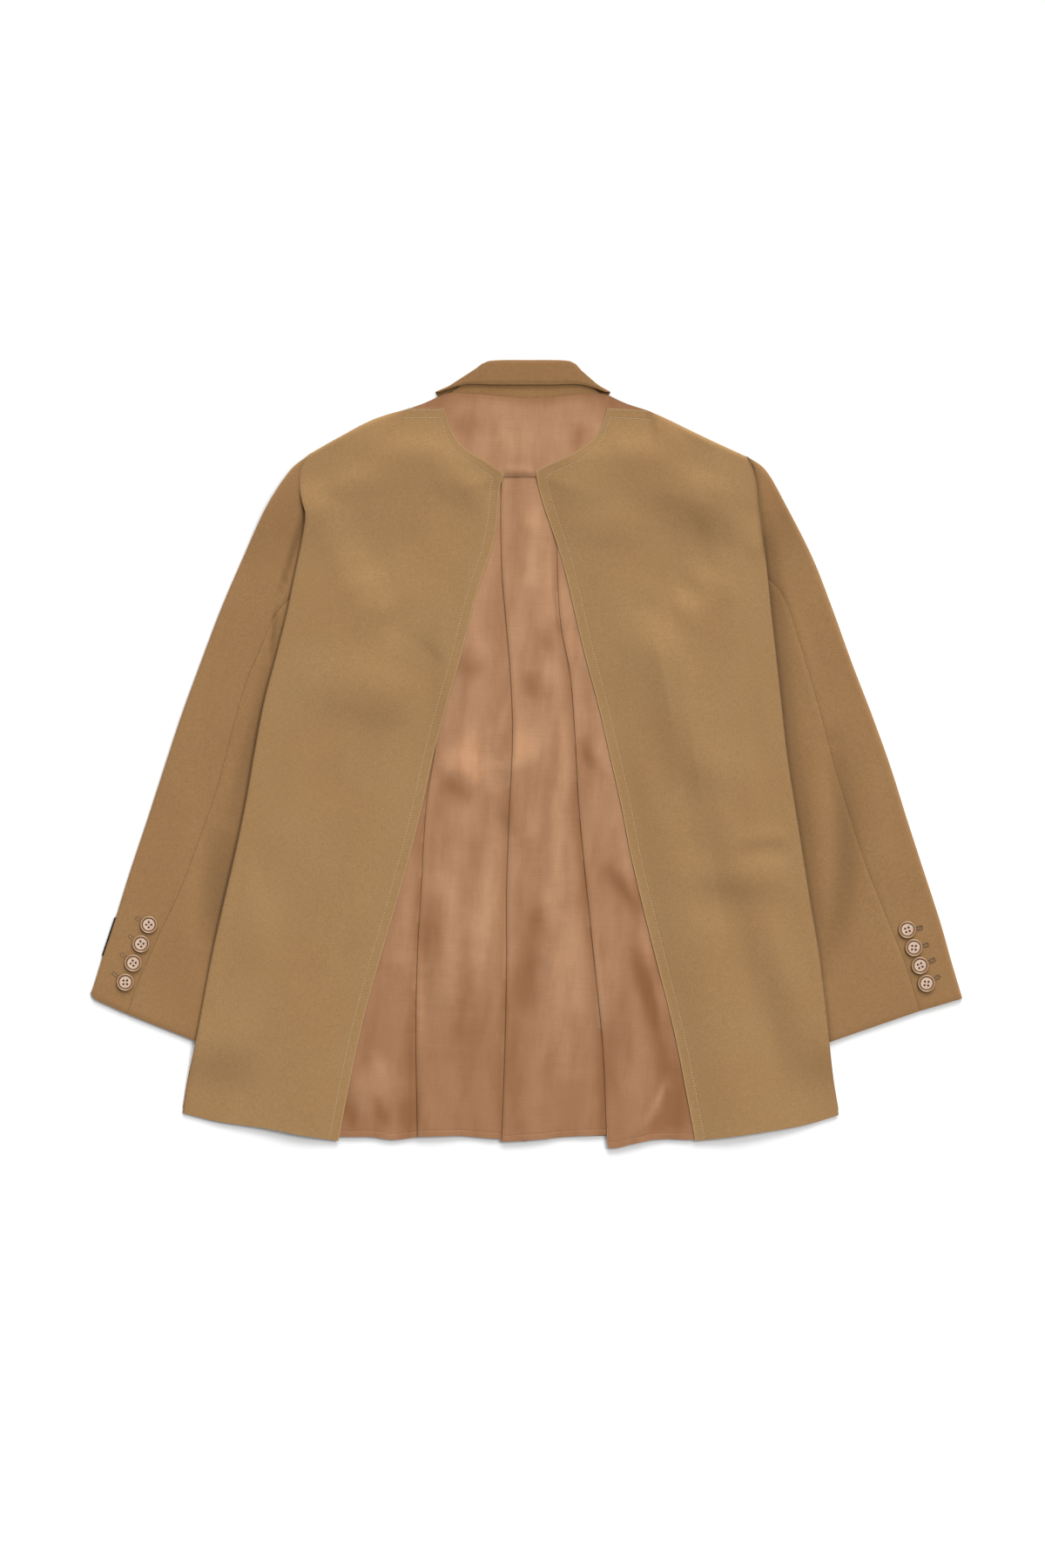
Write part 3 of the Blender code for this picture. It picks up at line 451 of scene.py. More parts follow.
def panel_grid(side, shoulder, neck, inner, curve, hem_rise, height, way):
    """A panel of the body, from its shoulder and neck lines, its inner edge, its hem and its height."""
    hem_x, hem_y = of_side(BACK_HEM, side)
    hem_y = hem_y + hem_rise
    hem = partial(curve, hem_x, hem_y)
    plan = body_plan(side, np.concatenate([shoulder, neck]), inner, hem, hem_y[-1])
    heights = rolled(side, plan, height(side, plan[..., 0], plan[..., 1]), shoulder, way)
    return np.stack([side.sign * plan[..., 0], plan[..., 1], heights], axis=-1)


def back_grid(side):
    short_end = np.stack(of_side(SHORT_EDGE, side), axis=-1)[-1:]
    neck = np.concatenate([short_end, trace(*of_side(NECKLINE, side), NECKLINE_SHARES)])
    inner = partial(read, BACK_OPENING, side.name)
    return panel_grid(side, shoulder_run(side, [1 / 3, 2 / 3, 1]), neck, inner, along, 0, back_high, 1)


def front_grid(side):
    shoulder = shoulder_run(side, [0.25, 0.5, 0.75, 1])
    neck = trace(*of_side(NECK_POINT, side), [0.5, 1])
    inner = partial(read, FRONT_EDGE, "out", curve=straight)
    return panel_grid(side, shoulder, neck, inner, straight, FRONT_HEM_RISE, front_low, -1)


def lapel_grid(side):
    """The lapel lies on the surface, folded out under its front along the roll line."""
    top = trace(*LAPEL_TOP.values(), LAPEL_SHARES)
    end_in, end_out = (read(rows, "out", LAPEL_END_Y, straight) for rows in (FRONT_EDGE, FOLDED_UNDER))
    end_x = blend(end_in, end_out, LAPEL_SHARES)
    end = np.stack([end_x, np.full(len(end_x), LAPEL_END_Y)], axis=-1)
    rows = []
    for share in np.linspace(0, 1, LAPEL_ROWS):
        row = blend(top, end, share)
        row[:, 0] += LAPEL_BELLY * sin(pi * share) * LAPEL_SHARES
        rows.append(np.insert(row * [side.sign, 1], 2, 0, axis=1))
    return np.array(rows)


# ---- linings

YOKE_COLUMNS = 17
YOKE_ROW_SHARES = (0, 0.15, 0.3, 0.45, 0.6, 0.75, 0.88, 1)
# Columns of the section that one pleat takes, and the last of them on its visible fold.
PLEAT_COLUMNS = 11
FOLD_COLUMN = 7
HALF_TURN = (0, 60, 120, 180)
PLEAT_CLEAR = 3.0
LINING_END = 4.0
LINING_ROWS = (LINING_TOP_Y, 235, 180, 130, 80, 20, -50, -130, -210, -290, -380)


def yoke_grid():
    top_x, top_y = trace(*YOKE_TOP.values(), np.linspace(0, 1, YOKE_COLUMNS)).T
    rows = []
    for share in YOKE_ROW_SHARES:
        x = top_x * (1 - YOKE_NARROWING * share)
        y = blend(top_y, YOKE_FOLD_Y, share)
        rows.append(np.stack([x, y, yoke_low(y) + SATIN + shoulder_lift(np.abs(x), y)], axis=-1))
    return np.array(rows)


def half_turn(centre_x, centre_z, way):
    """Points of a half circle in the lining's section, from its lowest, turning right or left."""
    radius = PLEAT_LEVEL / 2
    angles = [radians(way * step - 90) for step in HALF_TURN]
    return [(centre_x + radius * cos(angle), centre_z + radius * sin(angle)) for angle in angles]


def lining_section(y):
    """Section through the lining at one height: flat cloth, and for each pleat three layers and a slope."""
    low = LINING_LOW + SATIN / 2
    high = low + 2 * PLEAT_LEVEL
    half = PLEAT_LEVEL / 2
    reach = read(LINING_REACH, "out", y)
    section = [(-reach, low)]
    for name in PLEAT_NAMES:
        fold = read(PLEATS, name, y)
        deep = fold + PLEAT_DEPTH
        brow_x = deep + PLEAT_CLEAR
        section += half_turn(deep - half, low + half, 1)
        section += half_turn(fold + half, low + half + PLEAT_LEVEL, -1)
        halfway = (brow_x + PLEAT_SLOPE / 2, (low + high) / 2)
        section += [(brow_x, high), halfway, (brow_x + PLEAT_SLOPE, low)]
    section.append((max(reach, section[-1][0] + LINING_END), low))
    return section


def lining_hem(column, x):
    """Lower edge of the lining: the cloth after the last pleat hangs lower than what it covers."""
    hem = LINING_HEM
    if column > PLEAT_COLUMNS + FOLD_COLUMN:
        hem = LINING_HEM_MIDDLE
    if column > 2 * PLEAT_COLUMNS + FOLD_COLUMN:
        hem = LINING_HEM_RIGHT
    return along(*hem.values(), x)


def pleat_grid():
    rows = []
    for y in LINING_ROWS:
        share = (LINING_TOP_Y - y) / (LINING_TOP_Y - LINING_ROWS[-1])
        row = []
        for column, (x, z) in enumerate(lining_section(y)):
            row.append((x, blend(LINING_TOP_Y, lining_hem(column, x), share), z))
        rows.append(row)
    return np.array(rows)


# ---- collar

# Section of the fall from where it meets the stand, over its fold, to its free edge: share, inset and drop.
FALL_SECTION = table(
    "share inset drop level_inset",
    (0, 1.4, 4.6, 0), (0, 0, 2.9, 0.8), (0, 0.6, 1.2, 1.6), (0, 2.6, 0.2, 2.6), (0.36, 0, 0, 0),
    (0.68, 0, 0, 0), (1, 0, 0, 0),
)
STAND_TOP = table("x y", (-41, 384), (-20, 387.6), (0, 388), (20, 387.6), (43, 384))
STAND_COLUMNS = 15
STAND_ROWS = 5
STAND_LOW = 4.5
STAND_RISE = 1.8


def fall_grid():
    stations = []
    rows = list(zip(*COLLAR.values()))
    halves = [(row, -1) for row in rows[:0:-1]] + [(row, 1) for row in rows]
    for (turn, roll, fold_x, fold_y, edge_x, edge_y, height), sign in halves:
        fold = np.array([sign * fold_x + COLLAR_FOLD_SHIFT, fold_y])
        edge = np.array([sign * edge_x + COLLAR_EDGE_SHIFT, edge_y])
        inward = (edge - fold) / np.linalg.norm(edge - fold)
        turn = radians(turn)
        facing = np.array([sign * cos(turn) * COLLAR_LEAN[0], cos(turn) * COLLAR_LEAN[1], sin(turn)])
        station = []
        for share, inset, drop, level_inset in zip(*FALL_SECTION.values()):
            inset = roll * inset + (1 - roll) * level_inset
            flat = fold + inward * inset + (edge - fold) * share - facing[:2] * COLLAR_BOW * sin(pi * share)
            rise = height + COLLAR_SLOPE * share * sin(turn) * (turn > 0)
            station.append(np.array([*flat, rise]) - facing * drop * roll)
        stations.append(station)
    return np.array(stations).transpose(1, 0, 2)[:, ::-1]


def stand_grid():
    columns = np.linspace(0, 1, STAND_COLUMNS)
    seam = trace(*NECK_SEAM.values(), columns)
    top = trace(*STAND_TOP.values(), columns)
    rows = []
    for share in np.linspace(0, 1, STAND_ROWS):
        flat = seam + [0, NECK_GAP] + (top - seam) * share
        rows.append(np.insert(flat, 2, STAND_LOW + STAND_RISE * ease(share), axis=1))
    return np.array(rows[::-1])


# ---- sleeves

SLEEVE_TURN = np.array([12, 45, 90])
OUTER_TURN = np.concatenate([-SLEEVE_TURN[::-1], SLEEVE_TURN])
INNER_TURN = np.array([-90, -40, 0, 40, 90])
UNDER_SHARES = np.array([0.3, 0.62, 1])
TAB_TOP_Y = -162
TAB_BOTTOM_Y = -200
TAB_THICK = 1.0
TAB_TURNS = (30, 7, -16, -40)
TAB_ROWS = 5
SEAT_GAP = 0.3


def armhole_point(side, y):
    """The sleeve's end: beside the body down to the side fold, then in under it."""
    if y > FOLD_TOP_Y[side.name]:
        return np.array([body_edge(side, y) + ARMHOLE_GAP, y])
    return np.array([sleeve_inner(side, y), y])


def sleeve_section(side, row, upper):
    """One section of a sleeve piece, as points from the underside round its fold to the top."""
    outer_x, outer_y, elbow_x, elbow_y, inner_y = (column[row] for column in SLEEVES[side.name].values())
    seam_ys = ARMHOLE_ROWS[ARMHOLE_ROWS >= FOLD_TOP_Y[side.name]]
    if upper:
        start = np.array([outer_x, outer_y])
        turns = OUTER_TURN
        shares = np.arange(1, len(seam_ys) + 2) / (len(seam_ys) + 1)
    else:
        start = np.array([sleeve_inner(side, inner_y), inner_y])
        turns = INNER_TURN
        shares = UNDER_SHARES
    radius = sleeve_thick(outer_y) / 2
    along_sleeve = np.array([elbow_x, elbow_y]) - start
    length = np.linalg.norm(along_sleeve)
    way = along_sleeve / length
    rises = [sin(radians(turn)) for turn in turns]
    insets = [radius * (1 - cos(radians(turn))) for turn in turns]
    curl = [start + way * radius * (1 - cos(radians(turn))) for turn in turns]
    flat = [start + way * (radius + (length - radius - SEAM_GAP / 2) * share) for share in shares]
    if row == 0 and upper:
        curl = [armhole_point(side, outer_y - inset) for inset in insets]
        flat = [armhole_point(side, y) for y in [*seam_ys, ELBOW_SEAM_TOP_Y[side.name] + SEAM_GAP / 2]]
    elif row == 0:
        fold_y = inner_y + radius
        seam_y = ELBOW_SEAM_TOP_Y[side.name] - SEAM_GAP / 2
        flat = [armhole_point(side, blend(fold_y, seam_y, share)) for share in shares]
    levels = [-1.0] * len(flat) + rises + [1.0] * len(flat)
    points = []
    for (x, y), level in zip(flat[::-1] + curl + flat, levels):
        points.append((side.sign * x, y, shoulder_lift(x, y) + sleeve_thick(y) / 2 * (1 + level)))
    return points


def sleeve_grid(side, upper):
    rows = len(SLEEVES[side.name]["outer_x"])
    return np.array([sleeve_section(side, row, upper) for row in range(rows)])


def tab_grid():
    """A narrow band round the outer fold of the left cuff, drawn from the sleeve's own sections."""
    rows = []
    for y in np.linspace(TAB_TOP_Y, TAB_BOTTOM_Y, TAB_ROWS):
        radius = sleeve_thick(y) / 2
        centre_x = along(SLEEVE_LEFT["outer_y"], SLEEVE_LEFT["outer_x"], y) - radius
        skin = radius + SEAT_GAP + TAB_THICK
        angles = [radians(turn) for turn in TAB_TURNS[::-1]]
        rows.append([(-(centre_x + skin * cos(angle)), y, radius + skin * sin(angle)) for angle in angles])
    return np.array(rows)


# ---- folds of the cloth

# Soft bends in the wool, along a curved path: the cloth rises to the left of the path's direction.
WOOL_BENDS = table(
    "x1 y1 x2 y2 x3 y3 width rise",
    (-168, 150, -128, 132, -70, 84, 28, 2.6), (-104, 112, -90, 98, -72, 70, 10, 1.2),
    (-222, 56, -165, 38, -104, 20, 30, 2.9), (-80, 280, -58, 248, -34, 204, 17, 2),
    (-48, 252, -40, 238, -28, 224, 6, 0.6), (-215, -5, -190, -15, -165, -12, 22, 1.2),
    (-190, -190, -160, -200, -135, -190, 24, 1.2), (76, 282, 128, 268, 192, 208, 18, 0.9),
    (28, 216, 76, 204, 124, 210, 22, 1.4), (150, -16, 185, -30, 210, -42, 20, 1.2),
    (204, -98, 240, -84, 278, -92, 8, 0.9), (142, -128, 205, -142, 266, -134, 17, 1.7),
    (-246, -215, -262, -150, -272, -80, 18, 1.2), (215, 120, 232, 60, 240, -20, 20, 0.8),
)
# Soft brows in the satin.
SATIN_STEPS = table(
    "x1 y1 x2 y2 x3 y3 width rise",
    (-8, 234, 0, 223, 9, 212, 6, 0.9), (-10, 169, 0, 163, 9, 160, 6, 0.8), (8, 128, 20, 112, 32, 92, 7, 1),
    (-4, 86, 3, 68, 12, 50, 9, 1.4), (-78, 98, -62, 86, -46, 80, 10, 1.6),
    (-94, -4, -76, -24, -52, -44, 12, 1.9), (-38, 16, -30, -8, -18, -28, 10, 2.5),
    (-36, -34, -20, -70, 3, -94, 7, 1.8), (-101, -110, -98, -180, -90, -262, 12, 2.7),
    (-66, -85, -64, -140, -68, -200, 8, 2), (-58, -295, -42, -200, -27, -80, 8, 1.8),
    (3, -150, 14, -235, 27, -320, 13, 3.2), (58, -200, 64, -235, 68, -275, 6, 1.4),
    (50, -205, 48, -120, 44, -45, 8, 1.4), (56, 10, 64, -6, 77, -24, 6, 1.3),
    (76, 54, 78, 32, 80, 12, 4, 0.9), (80, -110, 96, -132, 116, -158, 8, 2.3),
    (98, -172, 120, -232, 149, -322, 9, 1.8), (-177, -308, -168, -340, -160, -366, 8, 2),
    (-134, -318, -124, -345, -116, -372, 6, 1.7), (-116, -160, -119, -230, -114, -305, 4, 2),
    (-142, -204, -128, -216, -116, -222, 7, 1.4), (-66, 342, -48, 330, -42, 312, 9, 1),
    (-38, 300, -22, 296, -8, 306, 10, 0.9), (12, 318, 28, 306, 36, 292, 10, 0.9),
)
# Ridges, or troughs where the rise is below zero.
SATIN_RIDGES = table(
    "x1 y1 x2 y2 x3 y3 width rise",
    (-26, 268, -31, 238, -29, 200, 2.2, 1.6), (-34, 262, -37, 236, -34, 208, 2.5, -1.4),
    (44, 172, 50, 138, 60, 106, 4, 1.8), (50, 176, 57, 142, 68, 108, 3, -2),
    (-126, -95, -128, -160, -126, -230, 5, 1.2), (110, -378, 130, -350, 141, -316, 5, 2.4),
    (115, -381, 146, -356, 150, -318, 3.2, -2.4), (-150, -300, -140, -322, -150, -352, 6, 1.6),
)
# Shallow hollows in the satin, with painted shade in them.
SATIN_HOLLOWS = table(
    "x1 y1 x2 y2 x3 y3 width rise",
    (30, 140, 26, 120, 20, 98, 8.8, -0.9), (-70, 100, -56, 90, -42, 76, 15, -1),
    (5, 88, 6, 70, 4, 52, 10, -1.1), (-22, 24, -25, 8, -22, -10, 11.2, -1.1),
    (-86, -22, -68, -34, -48, -48, 13.8, -1.1), (-26, -30, -16, -58, -2, -82, 11.2, -1),
    (55, 22, 61, 0, 68, -18, 10, -1.2), (-50, -78, -57, -125, -60, -178, 11.2, -0.9),
    (-90, -128, -97, -170, -99, -216, 11.2, -1), (74, -106, 98, -124, 120, -160, 12.5, -1.1),
    (8, -148, 14, -170, 24, -192, 12.5, -0.9), (2, -190, -4, -230, -10, -265, 15, -0.7),
    (-54, -190, -58, -250, -60, -335, 12.5, -0.8), (106, -182, 124, -230, 138, -300, 11.2, -1.3),
    (142, -300, 150, -340, 158, -376, 11.2, -1.4), (150, -322, 150, -354, 124, -378, 5.5, -1.3),
    (-177, -342, -174, -358, -170, -378, 6.2, -1), (-150, -336, -144, -354, -137, -374, 6.2, -0.9),
    (-112, -325, -111, -350, -110, -378, 8.8, -0.9), (-72, 338, -64, 322, -50, 306, 11.2, -0.8),
    (60, 330, 56, 316, 44, 300, 11.2, -0.8),
)
# The sleeves' troughs and ridges.
SLEEVE_RIDGES = table(
    "x1 y1 x2 y2 x3 y3 width rise",
    (-262, 60, -284, -20, -300, -90, 7, -2.2), (-246, 168, -264, 100, -286, 10, 6, 1),
    (-220, 238, -235, 192, -248, 146, 2.4, -5.6), (-248, 146, -252, 118, -254, 92, 2.2, -5),
    (-226, 238, -241, 192, -254, 146, 3, 1.2), (-296, -70, -312, -130, -316, -200, 15, -3.6),
    (-330, -60, -340, -140, -352, -210, 16, 1.2), (258, 165, 272, 110, 292, 30, 9, 0.8),
    (286, 40, 290, -20, 290, -100, 12, 1.2), (302, 10, 334, -100, 296, -220, 12, -4.2),
    (334, 30, 352, -60, 350, -140, 16, 1.4), (-318, 120, -345, 30, -366, -60, 14, 1),
)
# How far the sleeves sink beside the body's edge.
SINKING = table(
    "y left right",
    (260, 0, 0), (225, 1.2, 1), (190, 0.8, 4.4), (130, 1.2, 4.4), (60, 3, 4.4), (-60, 2.6, 3.2),
    (-160, 2, 2.4), (-230, 0, 0),
)
SINK_WIDTH = 10.0
# A fold's path is drawn through so many points, and fades out at both ends as a power of a half wave.
PATH_POINTS = 33
PATH_SHARES = (0.04, 0.96)
PATH_POWER = 0.8
BROW_STEEP = 2.6
BROW_FALL = 3.2
BEND_SWELL = 1.3
# The waves of a ripple: how many, the turn and shift from one to the next, and their range of lengths.
WAVES = 7
WAVE_TURN = 2.399963
WAVE_SHIFT = 1.7
SHORTEST = 0.7
LONGER = 0.1
WAVE_SHARE = 3


def near_path(path, x, y):
    """How far points lie to the left of a fold's path, the share of it reached, and how far past its end."""
    t = np.linspace(0, 1, PATH_POINTS)
    px, py = ((1 - t) ** 2 * path[k] + 2 * t * (1 - t) * path[k + 2] + t**2 * path[k + 4] for k in (0, 1))
    gap_x = x.ravel()[:, None] - px[None, :]
    gap_y = y.ravel()[:, None] - py[None, :]
    nearest = np.argmin(gap_x**2 + gap_y**2, axis=1)
    take = np.arange(len(nearest))
    gap_x, gap_y = gap_x[take, nearest], gap_y[take, nearest]
    along_x, along_y = np.gradient(px)[nearest], np.gradient(py)[nearest]
    left = (along_x * gap_y - along_y * gap_x) / np.hypot(along_x, along_y)
    past_end = np.abs((along_x * gap_x + along_y * gap_y) / np.hypot(along_x, along_y))
    return left.reshape(x.shape), t[nearest].reshape(x.shape), past_end.reshape(x.shape)


def brow(across):
    """A rise to the left that slowly falls away again."""
    return bell(np.maximum(across, 0) / BROW_FALL) / (1 + np.exp(-BROW_STEEP * across))


def bend(across):
    """A trough to the right and a swell to the left of it."""
    return BEND_SWELL * across * np.exp(-(across**2) / 2)


def relief(rows, x, y, profile):
    """Height added by a table of folds that all have one profile across their paths."""
    total = np.zeros(x.shape)
    for path in zip(*rows.values()):
        width, rise = path[-2:]
        left, share, past_end = near_path(path, x, y)
        ends = np.sin(pi * np.clip(share, *PATH_SHARES)) ** PATH_POWER * bell(past_end / width)
        total += rise * profile(left / width) * ends
    return total


def ripple(kind, x, y):
    """An even, aimless unevenness: crossing waves of nearly the same length."""
    total = np.zeros(np.shape(x))
    for k in range(WAVES):
        turn = WAVE_TURN * (k + kind.seed)
        length = kind.wavelength * (SHORTEST + LONGER * k)
        across = x * cos(turn) + kind.squeeze * y * sin(turn)
        total = total + np.sin(across * 2 * pi / length + WAVE_SHIFT * k + kind.seed)
    return kind.height * (total / WAVE_SHARE)


def settled(height, deepest):
    """Folds rise freely, and sink no further than the cloth underneath lets them."""
    return np.where(height < 0, -deepest * (1 - np.exp(height / deepest)), height)


# ---- fine grids


def smooth(grid, step):
    """More rows, about a step apart, on a smooth curve down each column."""
    gaps = np.linalg.norm(np.diff(grid, axis=0), axis=2).mean(axis=1)
    secants = np.diff(grid, axis=0) / gaps[:, None, None]
    chords = (grid[2:] - grid[:-2]) / (gaps[1:] + gaps[:-1])[:, None, None]
    slopes = np.concatenate([secants[:1], chords, secants[-1:]])
    rows = []
    for k, gap in enumerate(gaps):
        count = max(1, round(gap / step))
        ends = (grid[k], grid[k + 1], slopes[k], slopes[k + 1])
        rows += [hermite(t, gap, *ends) for t in np.arange(count) / count]
    return np.array([*rows, grid[-1]])


def fine(grid, step, corners=()):
    """A grid made fine both ways, and the new columns of its corners, which its outline keeps."""
    bounds = [0, *corners, grid.shape[1] - 1]
    across = grid.transpose(1, 0, 2)
    runs = [smooth(across[a : b + 1], step) for a, b in zip(bounds, bounds[1:])]
    joined = np.concatenate([runs[0]] + [run[1:] for run in runs[1:]]).transpose(1, 0, 2)
    starts = np.cumsum([0] + [len(run) - 1 for run in runs])
    return smooth(joined, step), starts[1:-1]


def from_end(grid, axis):
    """Distance of each point from the last row or column, along the cloth."""
    steps = np.linalg.norm(np.diff(grid, axis=axis), axis=2)
    run = np.flip(np.cumsum(np.flip(steps, axis), axis), axis)
    return np.concatenate([run, np.zeros_like(np.take(run, [0], axis))], axis)


def from_start(grid, axis):
    return np.flip(from_end(np.flip(grid, axis), axis), axis)


def line_run(line):
    """Distance from the start of a line of points in space to each of them."""
    return run_of(np.linalg.norm(np.diff(line, axis=0), axis=1))


def point_at(line, run, at):
    """The points of a line at the distances given, where the run rises along the line."""
    return np.stack([np.interp(at, run, line[:, k]) for k in range(3)], axis=-1)


# ---- materials


class Shader:
    """A material with a Principled shader, and short calls to add nodes to it."""

    def __init__(self, name, **constants):
        self.material = bpy.data.materials.new(name)
        self.material.use_nodes = True
        self.tree = self.material.node_tree
        self.surface = self.tree.nodes["Principled BSDF"]
        self.set(self.surface, constants)

    def set(self, node, values):
        for key, value in values.items():
            socket = node.inputs[key if isinstance(key, int) else key.replace("_", " ")]
            if isinstance(value, bpy.types.NodeSocket):
                self.tree.links.new(value, socket)
            elif value is not None:
                socket.default_value = value

    def finish(self, colour, normal=None):
        """Give the surface its colour and relief, which completes the material."""
        self.set(self.surface, {"Base_Color": colour, "Normal": normal})
        return self.material

    def add(self, kind, values=(), **settings):
        node = self.tree.nodes.new("ShaderNode" + kind)
        for key, value in settings.items():
            setattr(node, key, value)
        self.set(node, dict(values))
        return node

    def attribute(self, name):
        return self.add("Attribute", attribute_name=name).outputs["Fac"]

    def math(self, operation, a, b=0.0, clamp=False):
        return self.add("Math", {0: a, 1: b}, operation=operation, use_clamp=clamp).outputs[0]

    def mix(self, factor, a, b, blend_type="MIX"):
        return self.add("Mix", {0: factor, 6: a, 7: b}, data_type="RGBA", blend_type=blend_type).outputs[2]

    def place(self, grain, scale):
        """Millimetres in the object's own frame, turned so that Y runs with the grain, then scaled."""
        where = self.add("TexCoord").outputs["Object"]
        turned = self.add("Mapping", {"Vector": where, "Rotation": (0, 0, radians(grain))})
        factor = tuple(s / MM for s in scale)
        return self.add("Mapping", {"Vector": turned.outputs[0], "Scale": factor}).outputs[0]

    def noise(self, grain, scale, detail=2.0, rough=0.5):
        """Noise with so many waves a millimetre across the grain, along it and upright."""
        values = {"Vector": self.place(grain, scale), "Scale": 1.0, "Detail": detail, "Roughness": rough}
        return self.add("TexNoise", values).outputs["Fac"]

    def ribs(self, grain, scale, distortion):
        """Even ribs along the grain, a little bent."""
        values = {"Vector": self.place(grain, (scale,) * 3), "Scale": 0.5, "Distortion": distortion}
        return self.add("TexWave", values).outputs["Fac"]

    def spread(self, value, low, high):
        """The value, stretched from low..high to 0..1."""
        return self.add("MapRange", {"Value": value, "From Min": low, "From Max": high}).outputs[0]

    def from_stitch(self, edge, inset):
        """Distance from a sewn line that runs beside an edge, in millimetres."""
        return self.math("ABSOLUTE", self.math("SUBTRACT", edge, inset))

    def with_painted_shading(self, colour, deep):
        """The colour with light and shade painted in: lighter, or nearer to a deep shade colour, where the
        cloth's painted light and shade values say so.
        """
        tone = self.attribute("tone")
        light = self.math("ADD", self.math("MAXIMUM", tone, 0.0), 1.0)
        lit = self.add("VectorMath", {0: colour, "Scale": light}, operation="SCALE").outputs[0]
        return self.mix(self.math("MULTIPLY", tone, -1.0, clamp=True), lit, deep)

    def bump(self, height, distance, strength, normal=None):
        """Relief from a height of 0 to 1 that stands for so many millimetres."""
        values = {"Height": height, "Distance": distance * MM, "Strength": strength, "Normal": normal}
        return self.add("Bump", values).outputs[0]


def shade(colour, factor):
    """The colour made darker or lighter, by one factor or by one for each channel."""
    return (*(np.array(colour) * factor), 1)


WOOL_COLOUR = (0.306, 0.178, 0.072)
WOOL_OCHRE = (0.297, 0.165, 0.065)
# Painted shade: the deep colour that the wool's painted shading reaches.
WOOL_PAINTED_SHADE = (0.045, 0.020, 0.006, 1)
WOOL_CUT = (0.46, 0.30, 0.15, 1)
THREAD_LIGHT = (1.12, 1.12, 1.13, 1)
SATIN_COLOUR = (0.408, 0.210, 0.103)
# Painted shade: the deep colour of the satin's painted shading and of its painted streaks.
SATIN_PAINTED_SHADE = (0.195, 0.068, 0.016, 1)
# Painted shade: the sleeves and collar take darker copies of the body's wool, as they lie across the light.
SLEEVE_PAINTED_SHADE = (0.905, 0.855, 0.825)
COLLAR_PAINTED_SHADE = (0.82, 0.75, 0.69)
HORN_FACE = (0.62, 0.45, 0.34, 1)
HORN_CLOUD = (0.47, 0.31, 0.21, 1)
HORN_RIM = (0.40, 0.235, 0.115, 1)
# Painted shade in the button's groove and painted shadow at its outer edge.
HORN_PAINTED_SHADE = (0.13, 0.06, 0.03, 1)
BAND_BLACK = (0.004, 0.004, 0.0045, 1)
BAND_RIB = (0.014, 0.013, 0.014, 1)
TOPSTITCH_INSET = 9.3
SATIN_HEM_INSET = 5.5


def wool(name, grain, depth=(1, 1, 1)):
    """Worsted twill: a fine diagonal rib, threads that vary a little in colour, and a slight nap; a depth
    factor and the cloth's painted light and shade values paint light and shade into its colour.
    """
    s = Shader(
        name,
        Roughness=0.78,
        Sheen_Weight=0.22,
        Sheen_Roughness=0.45,
        Sheen_Tint=(1.0, 0.86, 0.66, 1),
        Specular_IOR_Level=0.25,
    )
    warp = s.noise(grain, (1.1, 0.24, 0.3))
    weft = s.noise(grain, (0.24, 1.1, 0.3))
    fleck = s.noise(grain, (0.9, 0.9, 0.3), 3, 0.7)
    broad = s.noise(grain, (0.012, 0.012, 0.012))
    threads = s.math("ADD", s.math("ADD", warp, weft), fleck)
    hue = s.mix(s.spread(broad, 0.35, 0.65), shade(WOOL_COLOUR, depth), shade(WOOL_OCHRE, depth))
    dark = shade(WOOL_OCHRE, 0.80 * np.array(depth))
    light = s.mix(1.0, hue, THREAD_LIGHT, "MULTIPLY")
    colour = s.with_painted_shading(s.mix(s.spread(threads, 1.15, 1.85), s.mix(0.45, hue, dark), light), WOOL_PAINTED_SHADE)
    edge = s.attribute("edge_mm")
    colour = s.mix(s.math("MULTIPLY", s.spread(edge, 1.6, 0.2), 0.5), colour, WOOL_CUT)
    twill = s.math("MULTIPLY", s.ribs(grain + 28, 0.62, 0.6), 0.5)
    weave = s.bump(s.math("ADD", twill, threads), 0.12, 0.55)
    groove = s.spread(s.from_stitch(edge, TOPSTITCH_INSET), 0.2, 2.2)
    return s.finish(colour, s.bump(groove, 0.2, 0.8, weave))


